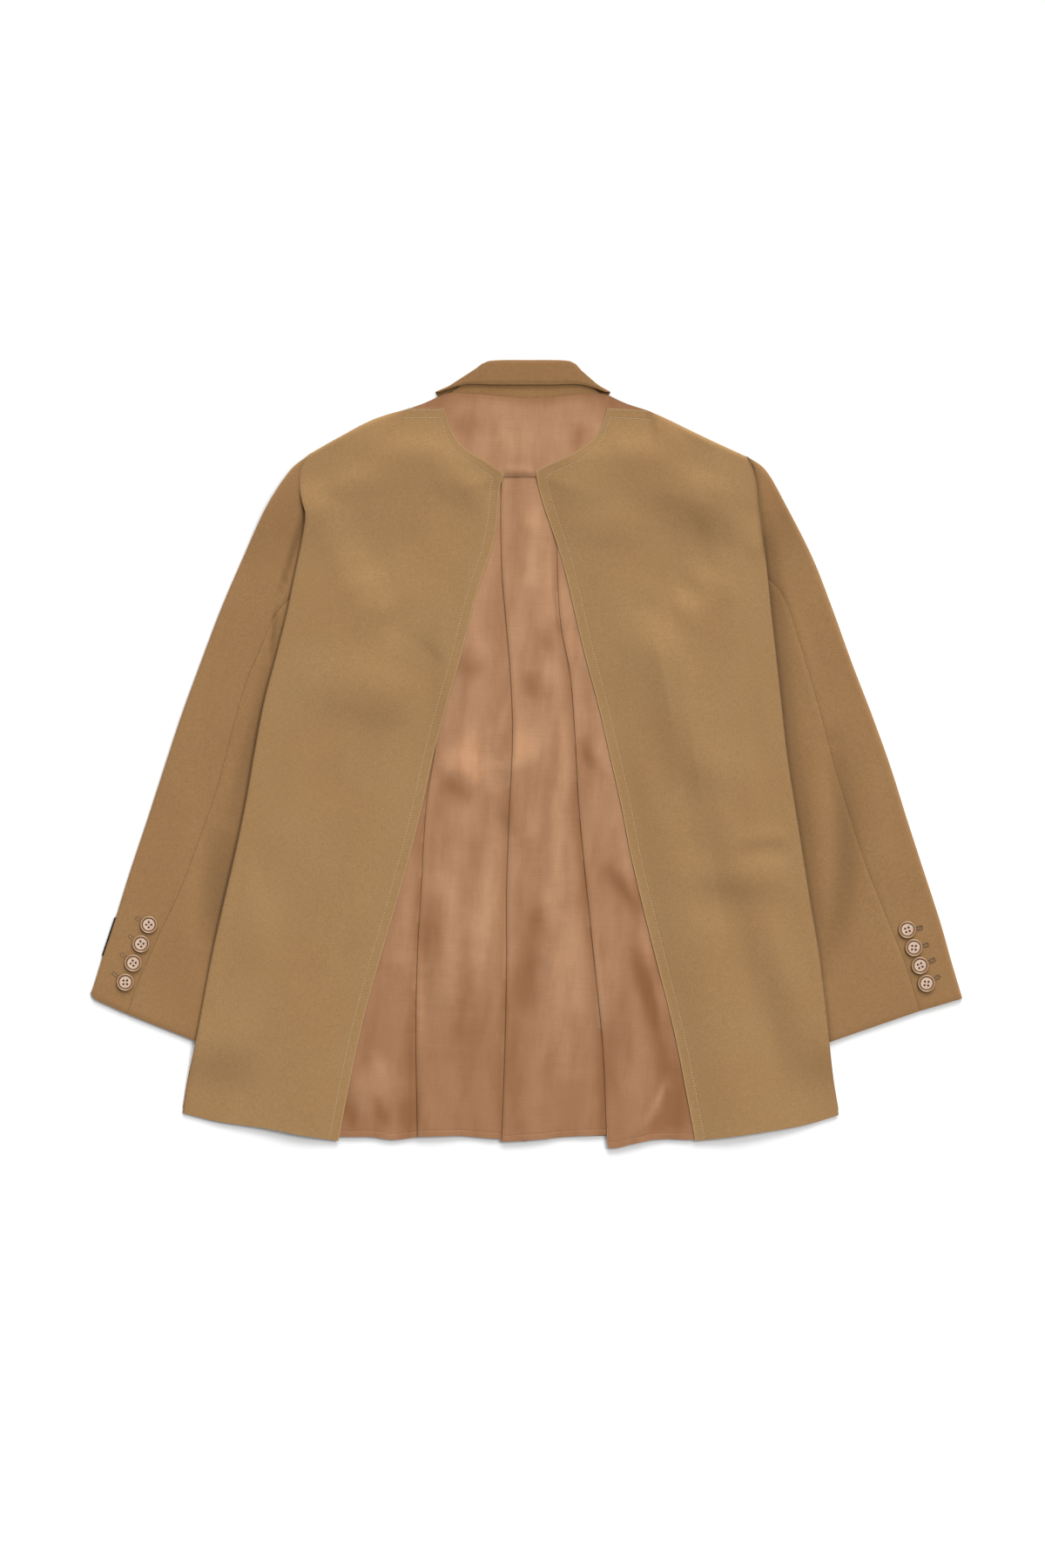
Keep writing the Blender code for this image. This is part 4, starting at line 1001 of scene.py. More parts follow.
def satin(name, hem):
    """Silky lining: a soft sheen that takes the cloth's colour, fine ribs across, painted streaks of shade,
    painted light and shade from the cloth's values, and a stitched hem.
    """
    s = Shader(
        name,
        Roughness=0.50,
        Metallic=0.14,
        Specular_IOR_Level=0.22,
        Sheen_Weight=0.06,
        Sheen_Tint=(1.0, 0.78, 0.6, 1),
    )
    ribs = s.noise(0, (0.05, 1.3, 0.3))
    threads = s.noise(0, (1.2, 0.08, 0.3))
    broad = s.noise(0, (0.014, 0.009, 0.01))
    painted_shade_streaks = s.noise(4, (0.055, 0.013, 0.03), 3)
    pucker = s.noise(0, (0.05, 0.05, 0.05), 3)
    woven = s.math("ADD", ribs, threads)
    hue = s.mix(s.spread(broad, 0.35, 0.65), shade(SATIN_COLOUR, 1.0), shade(SATIN_COLOUR, 0.9))
    dark, light = s.mix(0.05, hue, (0, 0, 0, 1)), s.mix(0.02, hue, (1, 1, 1, 1))
    colour = s.mix(s.spread(woven, 0.7, 1.3), dark, light)
    # Painted shade: stretched streaks of the deep colour stand in for the sheen of small folds.
    colour = s.mix(s.math("MULTIPLY", s.spread(painted_shade_streaks, 0.46, 0.68), 0.28), colour, SATIN_PAINTED_SHADE)
    weave = s.bump(woven, 0.03, 0.5, s.bump(pucker, 0.8, 0.3))
    if hem:
        from_stitch = s.from_stitch(s.attribute("edge_mm"), SATIN_HEM_INSET)
        weave = s.bump(s.spread(from_stitch, 0.2, 1.6), 0.25, 0.6, weave)
    return s.finish(s.with_painted_shading(colour, SATIN_PAINTED_SHADE), weave)


def thread(name, colour):
    """Sewing thread with its twist."""
    s = Shader(name, Roughness=0.6, Sheen_Weight=0.2)
    twist = s.noise(30, (2.5, 0.6, 1.0))
    return s.finish(s.mix(s.spread(twist, 0.3, 0.7), shade(colour, 0.8), shade(colour, 1.1)))


def horn(name):
    """Polished resin with a pale face and a tan rim, with painted shade in the groove between them and a
    painted shadow line at the outer edge.
    """
    s = Shader(name, Roughness=0.32, Coat_Weight=0.25, Coat_Roughness=0.15)
    cloud = s.noise(35, (0.22, 0.08, 0.22), 3, 0.6)
    face = s.mix(s.spread(cloud, 0.35, 0.65), HORN_FACE, HORN_CLOUD)
    ring = s.attribute("ring")
    colour = s.mix(s.spread(ring, 0.0, 0.5), face, HORN_RIM)
    colour = s.mix(s.spread(ring, 0.5, 1.0), colour, HORN_PAINTED_SHADE)
    return s.finish(colour, s.bump(s.noise(0, (1.5, 1.5, 1.5)), 0.03, 0.5))


def black_band(name):
    s = Shader(name, Roughness=0.9, Specular_IOR_Level=0.1)
    ribs = s.ribs(20, 1.2, 0.3)
    return s.finish(s.mix(ribs, BAND_BLACK, BAND_RIB), s.bump(ribs, 0.15, 0.6))


WOOL_BODY = wool("wool_body", 0)
WOOL_SLEEVES = {side.name: wool("wool_sleeve_" + side.name, 21 * side.sign, SLEEVE_PAINTED_SHADE) for side in SIDES}
WOOL_COLLAR = wool("wool_collar", 90, COLLAR_PAINTED_SHADE)
SATIN_LINING = satin("satin_lining", hem=True)
SATIN_YOKE = satin("satin_yoke", hem=False)
BUTTONHOLE = thread("thread_buttonhole", (0.20, 0.105, 0.046))
FRAY = thread("thread_frayed", (0.48, 0.32, 0.16))
BUTTON = horn("button_horn")
TOPSTITCH = thread("thread_pale", (0.52, 0.39, 0.23))
SEAM_THREAD = thread("thread_tan", (0.50, 0.29, 0.16))
DARK_THREAD = thread("thread_dark", (0.055, 0.032, 0.022))
TAB = black_band("tab_black")


# ---- pieces


def grid_faces(rows, columns, flipped):
    number = np.arange(rows * columns).reshape(rows, columns)
    corners = (number[:-1, :-1], number[1:, :-1], number[1:, 1:], number[:-1, 1:])
    quads = np.stack(corners, axis=-1).reshape(-1, 4)
    return quads[:, ::-1] if flipped else quads


def placed(name, mesh):
    piece = bpy.data.objects.new(name, mesh)
    bpy.context.scene.collection.objects.link(piece)
    return piece


def mesh_object(name, points, faces, material):
    mesh = bpy.data.meshes.new(name)
    places = np.asarray(points).reshape(-1, 3) * MM
    mesh.from_pydata(places.tolist(), [], [[int(n) for n in face] for face in faces])
    mesh.shade_smooth()
    mesh.materials.append(material)
    return placed(name, mesh)


def with_modifiers(piece):
    """A new mesh of the piece as its modifiers shape it."""
    return bpy.data.meshes.new_from_object(piece.evaluated_get(bpy.context.evaluated_depsgraph_get()))


def add_values(mesh, name, values):
    """A number for each point, which the materials read."""
    attribute = mesh.attributes.new(name, "FLOAT", "POINT")
    attribute.data.foreach_set("value", np.ravel(values).astype(np.float32))


def on_garment(piece, slot, *nodes):
    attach(piece, "root")
    if nodes:
        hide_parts(*nodes)


# Painted light and shade: cloth that faces the collar is painted lighter, and cloth that faces away deeper.
# The light's way over it, what a slope gives, and the most of it.
PAINTED_LIGHT_WAY = (0.24, 0.97)
PAINTED_LIGHT_SLOPE = 0.45
PAINTED_LIGHT_LIMIT = 0.14
FAR = 99.0
# Edges that bend more than this stay crisp: the cut rims of the cloth, and none of its folds.
RIM_ANGLE = 70
ON_FLOOR = 0.02
# How thick each cloth is, by its slot.
SHELL = {"wool": 1.0, "satin": 0.5, "tab": TAB_THICK}
# A sheet covers at least this share of the rectangle that it is cut from.
LEAST_SHARE = 0.3


def painted_slope_shading(points):
    """Painted light and shade: how much deeper or lighter the cloth is painted where it leans from or to the
    collar.
    """
    normal = np.cross(np.gradient(points, axis=0), np.gradient(points, axis=1))
    normal *= np.sign(normal[..., 2:]) / np.linalg.norm(normal, axis=2)[..., None]
    facing = PAINTED_LIGHT_WAY[1] * normal[..., 1] + PAINTED_LIGHT_WAY[0] * normal[..., 0]
    return np.clip(PAINTED_LIGHT_SLOPE * facing, -PAINTED_LIGHT_LIMIT, PAINTED_LIGHT_LIMIT)


def cloth(
    node, points, material, slot, held, rests_on, looks_up=True, centred=False, edge=FAR, tone=0.0, cut=None
):
    """A shell of cloth on a fine grid, in place of a node of the model. Its cut is its size laid flat."""
    points = np.concatenate([points[..., :2], np.maximum(points[..., 2:], ON_FLOOR)], axis=-1)
    shape = points.shape[:2]
    up = np.cross(points[1, -2] - points[0, -2], points[0, -1] - points[0, -2])[2] > 0
    piece = mesh_object(node + "_cloth", points, grid_faces(*shape, up != looks_up), material)
    # Each point carries a painted light and shade value, which the materials paint into the colour.
    for key, values in (("edge_mm", edge), ("tone", tone)):
        add_values(piece.data, key, np.broadcast_to(np.minimum(values, FAR), shape))
    wall = piece.modifiers.new("wall", "SOLIDIFY")
    wall.thickness = SHELL[slot] * MM
    wall.offset = 0 if centred else -1
    flat = piece.data
    piece.data = with_modifiers(piece)
    piece.modifiers.clear()
    bpy.data.meshes.remove(flat)
    piece.data.name = node
    piece.data.set_sharp_from_angle(angle=radians(RIM_ANGLE))
    on_garment(piece, slot, node)
    width, length = np.array(cut or (from_end(points, 1)[:, 0].max(), from_end(points, 0)[0, :].max())) * MM
    sides = np.cross(points[1:, :-1] - points[:-1, :-1], points[:-1, 1:] - points[:-1, :-1])
    area = min(np.linalg.norm(sides, axis=2).sum() * MM**2, width * length)
    area = max(area, LEAST_SHARE * width * length)


STITCH_SIDES = 6
# Rings of one stitch, from end to end: how far along it, how wide, and how high it arches.
STITCH_RINGS = table(
    "share radius lift",
    (0, 0.45, -0.6), (0.18, 0.9, 0.1), (0.5, 1, 0.35), (0.82, 0.9, 0.1), (1, 0.45, -0.6),
)


def ring_faces(a, sides):
    """Faces between a ring of points, numbered from a, and the next ring."""
    b = a + sides
    return [(a + k, a + (k + 1) % sides, b + (k + 1) % sides, b + k) for k in range(sides)]


def tube(first, rings, sides):
    """Faces of a closed tube of rings of points, numbered from the first point on."""
    faces = []
    for a in range(first, first + (rings - 1) * sides, sides):
        faces += ring_faces(a, sides)
    end = first + rings * sides
    return faces + [tuple(range(first, first + sides))[::-1], tuple(range(end - sides, end))]


def stitches(name, ends, radius, material, slot="wool"):
    """Short lengths of thread, each an arched capsule between two points, as one mesh."""
    starts, stops = np.array(ends).transpose(1, 0, 2)
    way = stops - starts
    way = way / np.linalg.norm(way, axis=1)[:, None]
    side = np.cross(way, [0, 0, 1.0])
    side = side / np.maximum(np.linalg.norm(side, axis=1), 1e-6)[:, None]
    rise = np.cross(side, way)
    rings = []
    for share, size, lift in zip(*STITCH_RINGS.values()):
        centre = starts + (stops - starts) * share + rise * lift * radius
        for k in range(STITCH_SIDES):
            angle = 2 * pi * k / STITCH_SIDES
            rings.append(centre + (side * cos(angle) + rise * sin(angle)) * radius * size)
    faces = []
    for first in range(0, len(rings) * len(way), len(rings)):
        faces += tube(first, len(STITCH_RINGS["share"]), STITCH_SIDES)
    on_garment(mesh_object(name, np.stack(rings, axis=1), faces, material), slot)


Seam = namedtuple("Seam", "pitch length lift radius")


def along_path(path, seam):
    """Ends of the stitches of a sewn line along a path of points."""
    run = line_run(path)
    starts = [k * seam.pitch for k in range(int(run[-1] / seam.pitch))]
    return [point_at(path, run, np.array([at, at + seam.length])) + [0, 0, seam.lift] for at in starts]


# ---- body

# Size of a fine grid's cells, where the wool shows and where it is hidden.
STEP = 3.2
HIDDEN_STEP = 7.0
# How deep the wool's folds may sink at the opening, and how much deeper away from it.
DIP_WOOL = 0.5
DIP_WOOL_INSIDE = 1.5
FROM_OPENING = Ramp(30, 50)
# The folds fade out towards the side and the top.
CALM_SIDE = Ramp(8, 14)
CALM_TOP = Ramp(3, 14)
BACK_RIPPLE = Ripple(0.15, 95, 3)
# The cut line at the top wavers a little.
NECK_RIPPLE = Ripple(0.12, 6, 2)
# The cut edges lie down on the lining, so far above it and from so far inside, and their rim is lifted.
EDGE_CLEAR = 0.15
DRAPE_WIDTH = 26.0
CUT_EDGE_LIFT = Fade(0.2, 2.5)
# How much deeper the cloth looks where it turns under at the side, and on the sleeve beside it.
SIDE_SHADE = {"left": Fade(0.25, 1.6), "right": Fade(0.5, 1.6)}
BESIDE_SHADE = {"left": Fade(0.10, 3.0), "right": Fade(0.35, 3.0)}
# The places at which the height of the lining under the wool is worked out, and how many it is eased over.
UNDER_X = np.arange(-280.0, 281.0, 2.0)
UNDER_Y = np.arange(-392.0, 370.0, 6.0)
EASE_ACROSS = 3
EASE_ALONG = 2
LAST_CELL = 0.001


def lining_level():
    """Height of the lining's upper face on a coarse grid, eased as wool laid over it would be."""
    level = np.zeros((len(UNDER_Y), len(UNDER_X)))
    for row, y in enumerate(UNDER_Y):
        section = lining_section(min(y, LINING_TOP_Y))
        for pair in zip(section, section[1:]):
            (xa, za), (xb, zb) = sorted(pair, key=lambda point: point[0])
            on = (UNDER_X >= xa) & (UNDER_X <= xb)
            heights = np.interp(UNDER_X[on], [xa, xb], [za, zb]) + SHELL["satin"] / 2
            level[row, on] = np.maximum(level[row, on], heights)
        if y > YOKE_FOLD_Y:
            level[row] = yoke_low(y) + SATIN
    for axis, reach in ((0, EASE_ALONG), (1, EASE_ACROSS)):
        first, last = (np.take(level, [end] * reach, axis) for end in (0, -1))
        padded = np.concatenate([first, level, last], axis)
        count, places = level.shape[axis], 2 * reach + 1
        level = sum(np.take(padded, np.arange(k, k + count), axis) for k in range(places)) / places
    return level


LINING_LEVEL = lining_level()


def cell(places, at):
    """The place before each point, and the share of the step to the next place that it is at."""
    steps = np.clip((at - places[0]) / (places[1] - places[0]), 0, len(places) - 1 - LAST_CELL)
    whole = steps.astype(int)
    return whole, steps - whole


def under_wool(x, y):
    """Height of the lining under points of the wool."""
    i, u = cell(UNDER_Y, y)
    j, v = cell(UNDER_X, x)
    near = LINING_LEVEL[i, j] * (1 - v) + LINING_LEVEL[i, j + 1] * v
    far = LINING_LEVEL[i + 1, j] * (1 - v) + LINING_LEVEL[i + 1, j + 1] * v
    return near * (1 - u) + far * u


def back_panel(side):
    """A back panel: its points, how far they are from the opening and from the top, and its corners."""
    shoulder_end = len(SIDE_INSETS) + 2
    points, corners = fine(back_grid(side), STEP, (shoulder_end, shoulder_end + 1))
    from_opening, from_side, from_top = from_end(points, 1), from_start(points, 1), from_start(points, 0)
    x, y = points[..., 0], points[..., 1]
    room = DIP_WOOL + DIP_WOOL_INSIDE * climb(FROM_OPENING, from_opening)
    folds = settled(relief(WOOL_BENDS, x, y, bend) + ripple(BACK_RIPPLE, x, y), room)
    points[..., 2] += folds * (climb(CALM_SIDE, from_side) * climb(CALM_TOP, from_top))
    cut_top = np.where(np.arange(points.shape[1])[None, :] >= corners[0], from_top, FAR)
    edge = np.minimum(from_opening, cut_top)
    resting = under_wool(x, y) + shoulder_lift(np.abs(x), y) + EDGE_CLEAR + SHELL["wool"]
    points[..., 2] += bell(edge / DRAPE_WIDTH) * np.minimum(resting - points[..., 2], 0)
    points[..., 2] += CUT_EDGE_LIFT.amount * np.exp(-edge / CUT_EDGE_LIFT.width)
    points[0, corners[0] :, 1] += ripple(NECK_RIPPLE, points[0, corners[0] :, 0], 0)
    # Painted light and shade by the cloth's slope, and painted shade where it turns under at the side.
    tone = painted_slope_shading(points) - fade(SIDE_SHADE[side.name], from_side)
    under = ("front_" + side.name,)
    cloth("back_" + side.name, points, WOOL_BODY, "wool", "laid", under, edge=edge, tone=tone)
    return points, from_opening, from_top, corners


TOPSTITCH_SEAM = Seam(2.7, 1.8, 0.10, 0.34)


def topstitch(side, points, from_opening, from_top, corners):
    """The sewn line that follows the short edge, the neckline and the opening, inset from them."""
    path = []
    for column in range(corners[0], points.shape[1]):
        row = int(np.searchsorted(from_top[:, column], TOPSTITCH_INSET))
        if from_opening[row, column] >= TOPSTITCH_INSET:
            path.append(point_at(points[:, column], from_top[:, column], TOPSTITCH_INSET))
    for row in range(points.shape[0]):
        column = int(np.searchsorted(-from_opening[row], -TOPSTITCH_INSET))
        if from_top[row, min(column, points.shape[1] - 1)] >= TOPSTITCH_INSET:
            path.append(point_at(points[row, ::-1], from_opening[row, ::-1], TOPSTITCH_INSET))
    ends = along_path(np.array(path), TOPSTITCH_SEAM)
    stitches("topstitch_" + side.name, ends, TOPSTITCH_SEAM.radius, TOPSTITCH)


# Loose fibres at the cut neckline, and at the short edge: how far apart, and the longest of them.
FRAY_PITCH = 1.6
FRINGE_PITCH = {"left": 0.5, "right": 1.6}
FRAY_LONGEST = 0.6
FRINGE_LONGEST = {"left": 2.3, "right": 1.2}
FRAY_RADIUS = 0.11
# A fibre starts so far inside the edge and below it, and its tip lies lower.
FRAY_ROOT = 0.6
FRAY_ROOT_DROP = 0.4
FRAY_DROP = 0.5
# How a fibre strays: how far to a side for its length, its share of the longest, and its tip's height.
FRAY_SPREAD = 0.55
FRAY_SHARES = (0.35, 1.0)
FRAY_RISES = (-0.3, 0.35)


def fray(side, points, corners):
    """Loose fibres along the cut neckline, and a short fringe on the left panel's short edge."""
    rng = np.random.default_rng(20 + side.sign)
    neckline = slice(corners[1], None)
    short_edge = slice(corners[0], corners[1] + 1)
    ends = []
    for columns, pitch, reach in (
        (neckline, FRAY_PITCH, FRAY_LONGEST),
        (short_edge, FRINGE_PITCH[side.name], FRINGE_LONGEST[side.name]),
    ):
        line, inside = points[0, columns], points[2, columns]
        run = line_run(line)
        for at in np.arange(0, run[-1], pitch):
            at += rng.uniform(0, pitch)
            start, back = point_at(line, run, at), point_at(inside, run, at)
            out = (start - back) / max(np.linalg.norm(start - back), 1e-6)
            aside = np.array([-out[1], out[0], 0]) * rng.normal(0, FRAY_SPREAD)
            tip = start + (out + aside) * reach * rng.uniform(*FRAY_SHARES)
            tip[2] = start[2] - FRAY_DROP + rng.uniform(*FRAY_RISES)
            ends.append((start - out * FRAY_ROOT + [0, 0, -FRAY_ROOT_DROP], tip))
    stitches("fray_" + side.name, ends, FRAY_RADIUS, FRAY)


def body(side):
    points, from_opening, from_top, corners = back_panel(side)
    topstitch(side, points, from_opening, from_top, corners)
    fray(side, points, corners)
    for name, grid, held in (("front_", front_grid, "laid"), ("lapel_", lapel_grid, "folded")):
        under, _ = fine(grid(side), HIDDEN_STEP)
        cloth(name + side.name, under, WOOL_BODY, "wool", held, ("floor",), looks_up=False)


# ---- linings and collar

SATIN_STEP = 3.5
DIP_SATIN = 0.8
HOLLOW_SHARE = 0.2
SATIN_SHOWN = Ramp(1, 9)
SATIN_RIPPLES = (Ripple(0.45, 44, 9, 0.28), Ripple(0.12, 21, 4, 0.5))
# Painted light and shade: the lining is painted lighter near the collar and deeper near the hem.
LINING_PAINTED_LIGHT = table("y tone", (-390, -0.3), (-250, -0.24), (-120, -0.08), (40, 0.07), (240, 0.07))
# The deepest painted shade; painted light on the satin's raised folds and painted shade in its dips, over
# this range of heights and about this middle; and painted shade in its hollows.
DEEPEST_PAINTED_SHADE = -0.7
FOLD_PAINTED_LIGHT = 0.20
FOLD_RANGE = (-1.6, 1.4)
FOLD_MIDDLE = 0.3
SATIN_HOLLOW_PAINTED_SHADE = 0.54
# How much deeper the cloth looks just below each pleat's fold.
PLEAT_SHADE = {"first": Fade(0.45, 8), "second": Fade(0.25, 8), "third": Fade(0.5, 8)}
PLEAT_EDGE = 0.4


def lining_folds(x, y):
    """Height of the satin's folds: only where the lining is uncovered."""
    inside = np.minimum(x + back_opening(LEFT, y), back_opening(RIGHT, y) - x)
    height = relief(SATIN_STEPS, x, y, brow) + relief(SATIN_RIDGES, x, y, bell)
    height = height + HOLLOW_SHARE * relief(SATIN_HOLLOWS, x, y, bell)
    for kind in SATIN_RIPPLES:
        height = height + ripple(kind, x, y)
    return settled(height, DIP_SATIN) * climb(SATIN_SHOWN, inside)


def pleats():
    base = pleat_grid()
    points, (first, last) = fine(base, SATIN_STEP, (1, base.shape[1] - 2))
    for columns, hem in ((slice(0, first), LINING_HEM), (slice(last, None), LINING_HEM_RIGHT)):
        end_x, end_y = points[-1, columns, 0], points[-1, columns, 1]
        share = (LINING_TOP_Y - points[:, columns, 1]) / (LINING_TOP_Y - end_y)
        points[:, columns, 1] += share * (along(*hem.values(), end_x) - end_y)
    from_hem = from_end(points, 0)
    x, y = points[..., 0], points[..., 1]
    folds = lining_folds(x, y)
    low_layer = points[..., 2] < LINING_LOW + SATIN
    points[..., 2] += folds
    # Painted light and shade: lighter near the collar and deeper near the hem, painted shade in the hollows,
    # painted shadow beside each pleat's fold, and painted light and shade on the folds.
    tone = read(LINING_PAINTED_LIGHT, "tone", y) + SATIN_HOLLOW_PAINTED_SHADE * relief(SATIN_HOLLOWS, x, y, bell)
    for name, shadow in PLEAT_SHADE.items():
        short = read(PLEATS, name, y) - x
        tone = tone - fade(shadow, short) * (short > PLEAT_EDGE) * low_layer
    tone = np.maximum(tone + FOLD_PAINTED_LIGHT * (np.clip(folds, *FOLD_RANGE) - FOLD_MIDDLE), DEEPEST_PAINTED_SHADE)
    looks = {"centred": True, "edge": from_hem, "tone": tone}
    cloth("pleat_lining", points, SATIN_LINING, "satin", "folded", ("front_left", "front_right"), **looks)
    return points, from_hem


HEM_SEAM = Seam(2.8, 1.9, SHELL["satin"] / 2 + 0.06, 0.24)
# The line is hidden under cloth that is this much higher and lies over it, or this close beside it.
HEM_HIDDEN = 0.5
HEM_TOUCH = 0.01


def hem_stitches(points, from_hem):
    """The sewn line above the satin's hem, left out where the cloth is folded under."""
    columns = range(points.shape[1])
    line = np.array([point_at(points[::-1, c], from_hem[::-1, c], SATIN_HEM_INSET) for c in columns])
    top = np.full(len(line), -np.inf)
    for a, b in zip(line, line[1:]):
        low, high = min(a[0], b[0]), max(a[0], b[0])
        over = (line[:, 0] >= low - HEM_TOUCH) & (line[:, 0] <= high + HEM_TOUCH)
        top[over] = np.maximum(top[over], max(a[2], b[2]))
    on_top = line[:, 2] > top - HEM_HIDDEN
    ends = []
    for seen, run in groupby(zip(line, on_top), key=lambda place: place[1]):
        path = np.array([point for point, _ in run])
        if seen and len(path) > 1:
            ends += along_path(path, HEM_SEAM)
    stitches("hem_stitch", ends, HEM_SEAM.radius, SEAM_THREAD, "satin")


YOKE_STEP = 3.0
YOKE_RIPPLE = Ripple(0.3, 55, 2)
DIP_YOKE = 0.6
YOKE_CALM = Ramp(0, 10)
YOKE_FOLD_DROP = Fade(0.9, 1.6)
# The tuck in the middle of the yoke's fold: its place, then its swell and its slanting crease above the fold.
TUCK_X = -7
TUCK_HALF = 14.5
TUCK_FADE = 5
SWELL = Fade(0.9, 2.6)
SWELL_ABOVE = 5
CREASE = Fade(0.35, 1.6)
CREASE_ABOVE = 10
CREASE_SLANT = 0.1
# The collar's shadow on the yoke: its depth, and its reach in the middle and how much more beside it.
COLLAR_SHADOW = 0.42
SHADOW_REACH = 7
SHADOW_MORE = 11
BESIDE_COLLAR = Ramp(55, 30)


def yoke():
    points, _ = fine(yoke_grid(), YOKE_STEP)
    x, y = points[..., 0], points[..., 1]
    from_fold = from_end(points, 0)
    height = relief(SATIN_STEPS, x, y, brow) + ripple(YOKE_RIPPLE, x, y)
    points[..., 2] += settled(height, DIP_YOKE) * climb(YOKE_CALM, from_fold)
    tucked = ease((TUCK_HALF - np.abs(x - TUCK_X)) / TUCK_FADE)
    crease = fade(CREASE, from_fold - CREASE_ABOVE - CREASE_SLANT * x)
    points[..., 2] += tucked * (fade(SWELL, from_fold - SWELL_ABOVE) + crease)
    points[..., 2] -= fade(YOKE_FOLD_DROP, from_fold)
    reach = SHADOW_REACH + SHADOW_MORE * climb(BESIDE_COLLAR, np.abs(x))
    tone = -COLLAR_SHADOW * bell(from_start(points, 0) / reach)
    # Painted shade in the satin's hollows.
    tone = tone + SATIN_HOLLOW_PAINTED_SHADE * relief(SATIN_HOLLOWS, x, y, bell)
    cloth("yoke_lining", points, SATIN_YOKE, "satin", "folded", ("pleat_lining",), tone=tone)


FALL_STEP = 2.0
STAND_STEP = 1.5
COLLAR_SETTLED = 0.60
FALL_EDGE_DROP = Fade(0.9, 2.5)
STAND_SEAM_DROP = Fade(0.5, 2.0)
# The stand catches the light, except where the fall shades it.
STAND_TONE = 0.10
STAND_SHADE = Fade(0.6, 2.2)


def collar():
    fall, _ = fine(fall_grid(), FALL_STEP)
    from_edge = from_end(fall, 0)
    fall[..., 2] *= COLLAR_SETTLED
    fall[..., 2] -= np.minimum(fade(FALL_EDGE_DROP, from_edge), fall[..., 2])
    cloth("collar_fall", fall, WOOL_COLLAR, "wool", "folded", ("collar_stand",), looks_up=False)
    stand, _ = fine(stand_grid(), STAND_STEP)
    from_seam = from_end(stand, 0)
    stand[..., 2] -= fade(STAND_SEAM_DROP, from_seam)
    below_fall = np.interp(stand[..., 0], fall[0, :, 0], fall[..., 1].min(axis=0)) - stand[..., 1]
    tone = STAND_TONE - fade(STAND_SHADE, below_fall)
    cloth("collar_stand", stand, WOOL_COLLAR, "wool", "folded", ("yoke_lining",), edge=from_seam, tone=tone)


# ---- sleeves and cuffs

SLEEVE_RIPPLE = Ripple(0.3, 110, 5)
DIP_SLEEVE = 4.2
CALM_CUFF = Ramp(0, 20)
CALM_ARMHOLE = Ramp(0, 12)
# Painted shade in the sleeve's troughs, and where it sinks beside the body.
SLEEVE_HOLLOW_PAINTED_SHADE = 0.07
SINKING_PAINTED_SHADE = 0.06
SEAM_DROP = {"left": Fade(0.65, 1.6), "right": Fade(0.35, 1.6)}
CUFF_DROP = Fade(0.5, 1.2)
ARMHOLE_DROP = Fade(0.5, 1.5)
# How far the outer corner of each cuff is turned up, and how far along the cuff and the fold that reaches.
CUFF_CORNER = {"left": 4.0, "right": 0.0}
CORNER_WIDTH = 7
CORNER_LENGTH = 9


def sleeve_piece(side, upper):
    points, _ = fine(sleeve_grid(side, upper), STEP)
    x, y, z = points[..., 0], points[..., 1], points[..., 2]
    half = sleeve_thick(y) / 2
    on_top = ease((z - (shoulder_lift(np.abs(x), y) + half)) / half)
    from_seam, from_top, from_cuff = from_end(points, 1), from_start(points, 0), from_end(points, 0)
    out = np.maximum(np.abs(x) - body_edge(side, y), 0)
    beside = read(SINKING, side.name, y) * bell(out / SINK_WIDTH)
    ridges = relief(SLEEVE_RIDGES, x, y, bell)
    uneven = ripple(SLEEVE_RIPPLE._replace(seed=SLEEVE_RIPPLE.seed + side.sign), x, y)
    calm = climb(CALM_CUFF, from_cuff) * climb(CALM_ARMHOLE, from_top)
    points[..., 2] += settled(ridges + uneven - beside, DIP_SLEEVE) * on_top * calm
    drops = ((SEAM_DROP[side.name], from_seam), (CUFF_DROP, from_cuff), (ARMHOLE_DROP, from_top))
    for drop, distance in drops:
        points[..., 2] -= fade(drop, distance) * on_top
    if upper:
        to_fold = np.abs(x).max(axis=1)[:, None] - np.abs(x)
        corner = CUFF_CORNER[side.name] * np.clip(1 - to_fold / CORNER_WIDTH, 0, 1) ** 2
        points[..., 1] += corner * np.exp(-from_cuff / CORNER_LENGTH)
    # Painted light and shade by the slope, and painted shade in the troughs, where the sleeve sinks and next
    # to the body's edge.
    tone = painted_slope_shading(points) + SLEEVE_HOLLOW_PAINTED_SHADE * np.minimum(ridges, 0) - SINKING_PAINTED_SHADE * beside
    tone = tone - fade(BESIDE_SHADE[side.name], out)
    name = "sleeve_" + side.name + ("_upper" if upper else "_under")
    cloth(name, points, WOOL_SLEEVES[side.name], "wool", "laid", ("floor",), tone=tone)


BUTTON_RADIUS = 8.9
# Half section of a cuff button, from the axis out and round to its back. The rim column is 0 on the face, 0.5
# on the tan rim, and 1 where shade is painted: in the groove and at the outer edge.
TURNED_SECTION = table(
    "radius height rim",
    (0, 2.15, 0), (4.4, 2.15, 0), (5.5, 2.35, 0), (5.85, 2.2, 0.5), (6.1, 1.6, 1), (6.5, 1.55, 1),
    (6.8, 2.1, 0.9), (7.2, 2.55, 0.5), (7.8, 2.8, 0.42), (8.3, 2.6, 0.5), (8.65, 2.1, 0.85), (8.9, 1.4, 1),
    (8.2, 0.3, 1), (6.5, 0, 1), (0, 0, 1),
)
TURNED_SIDES = 72
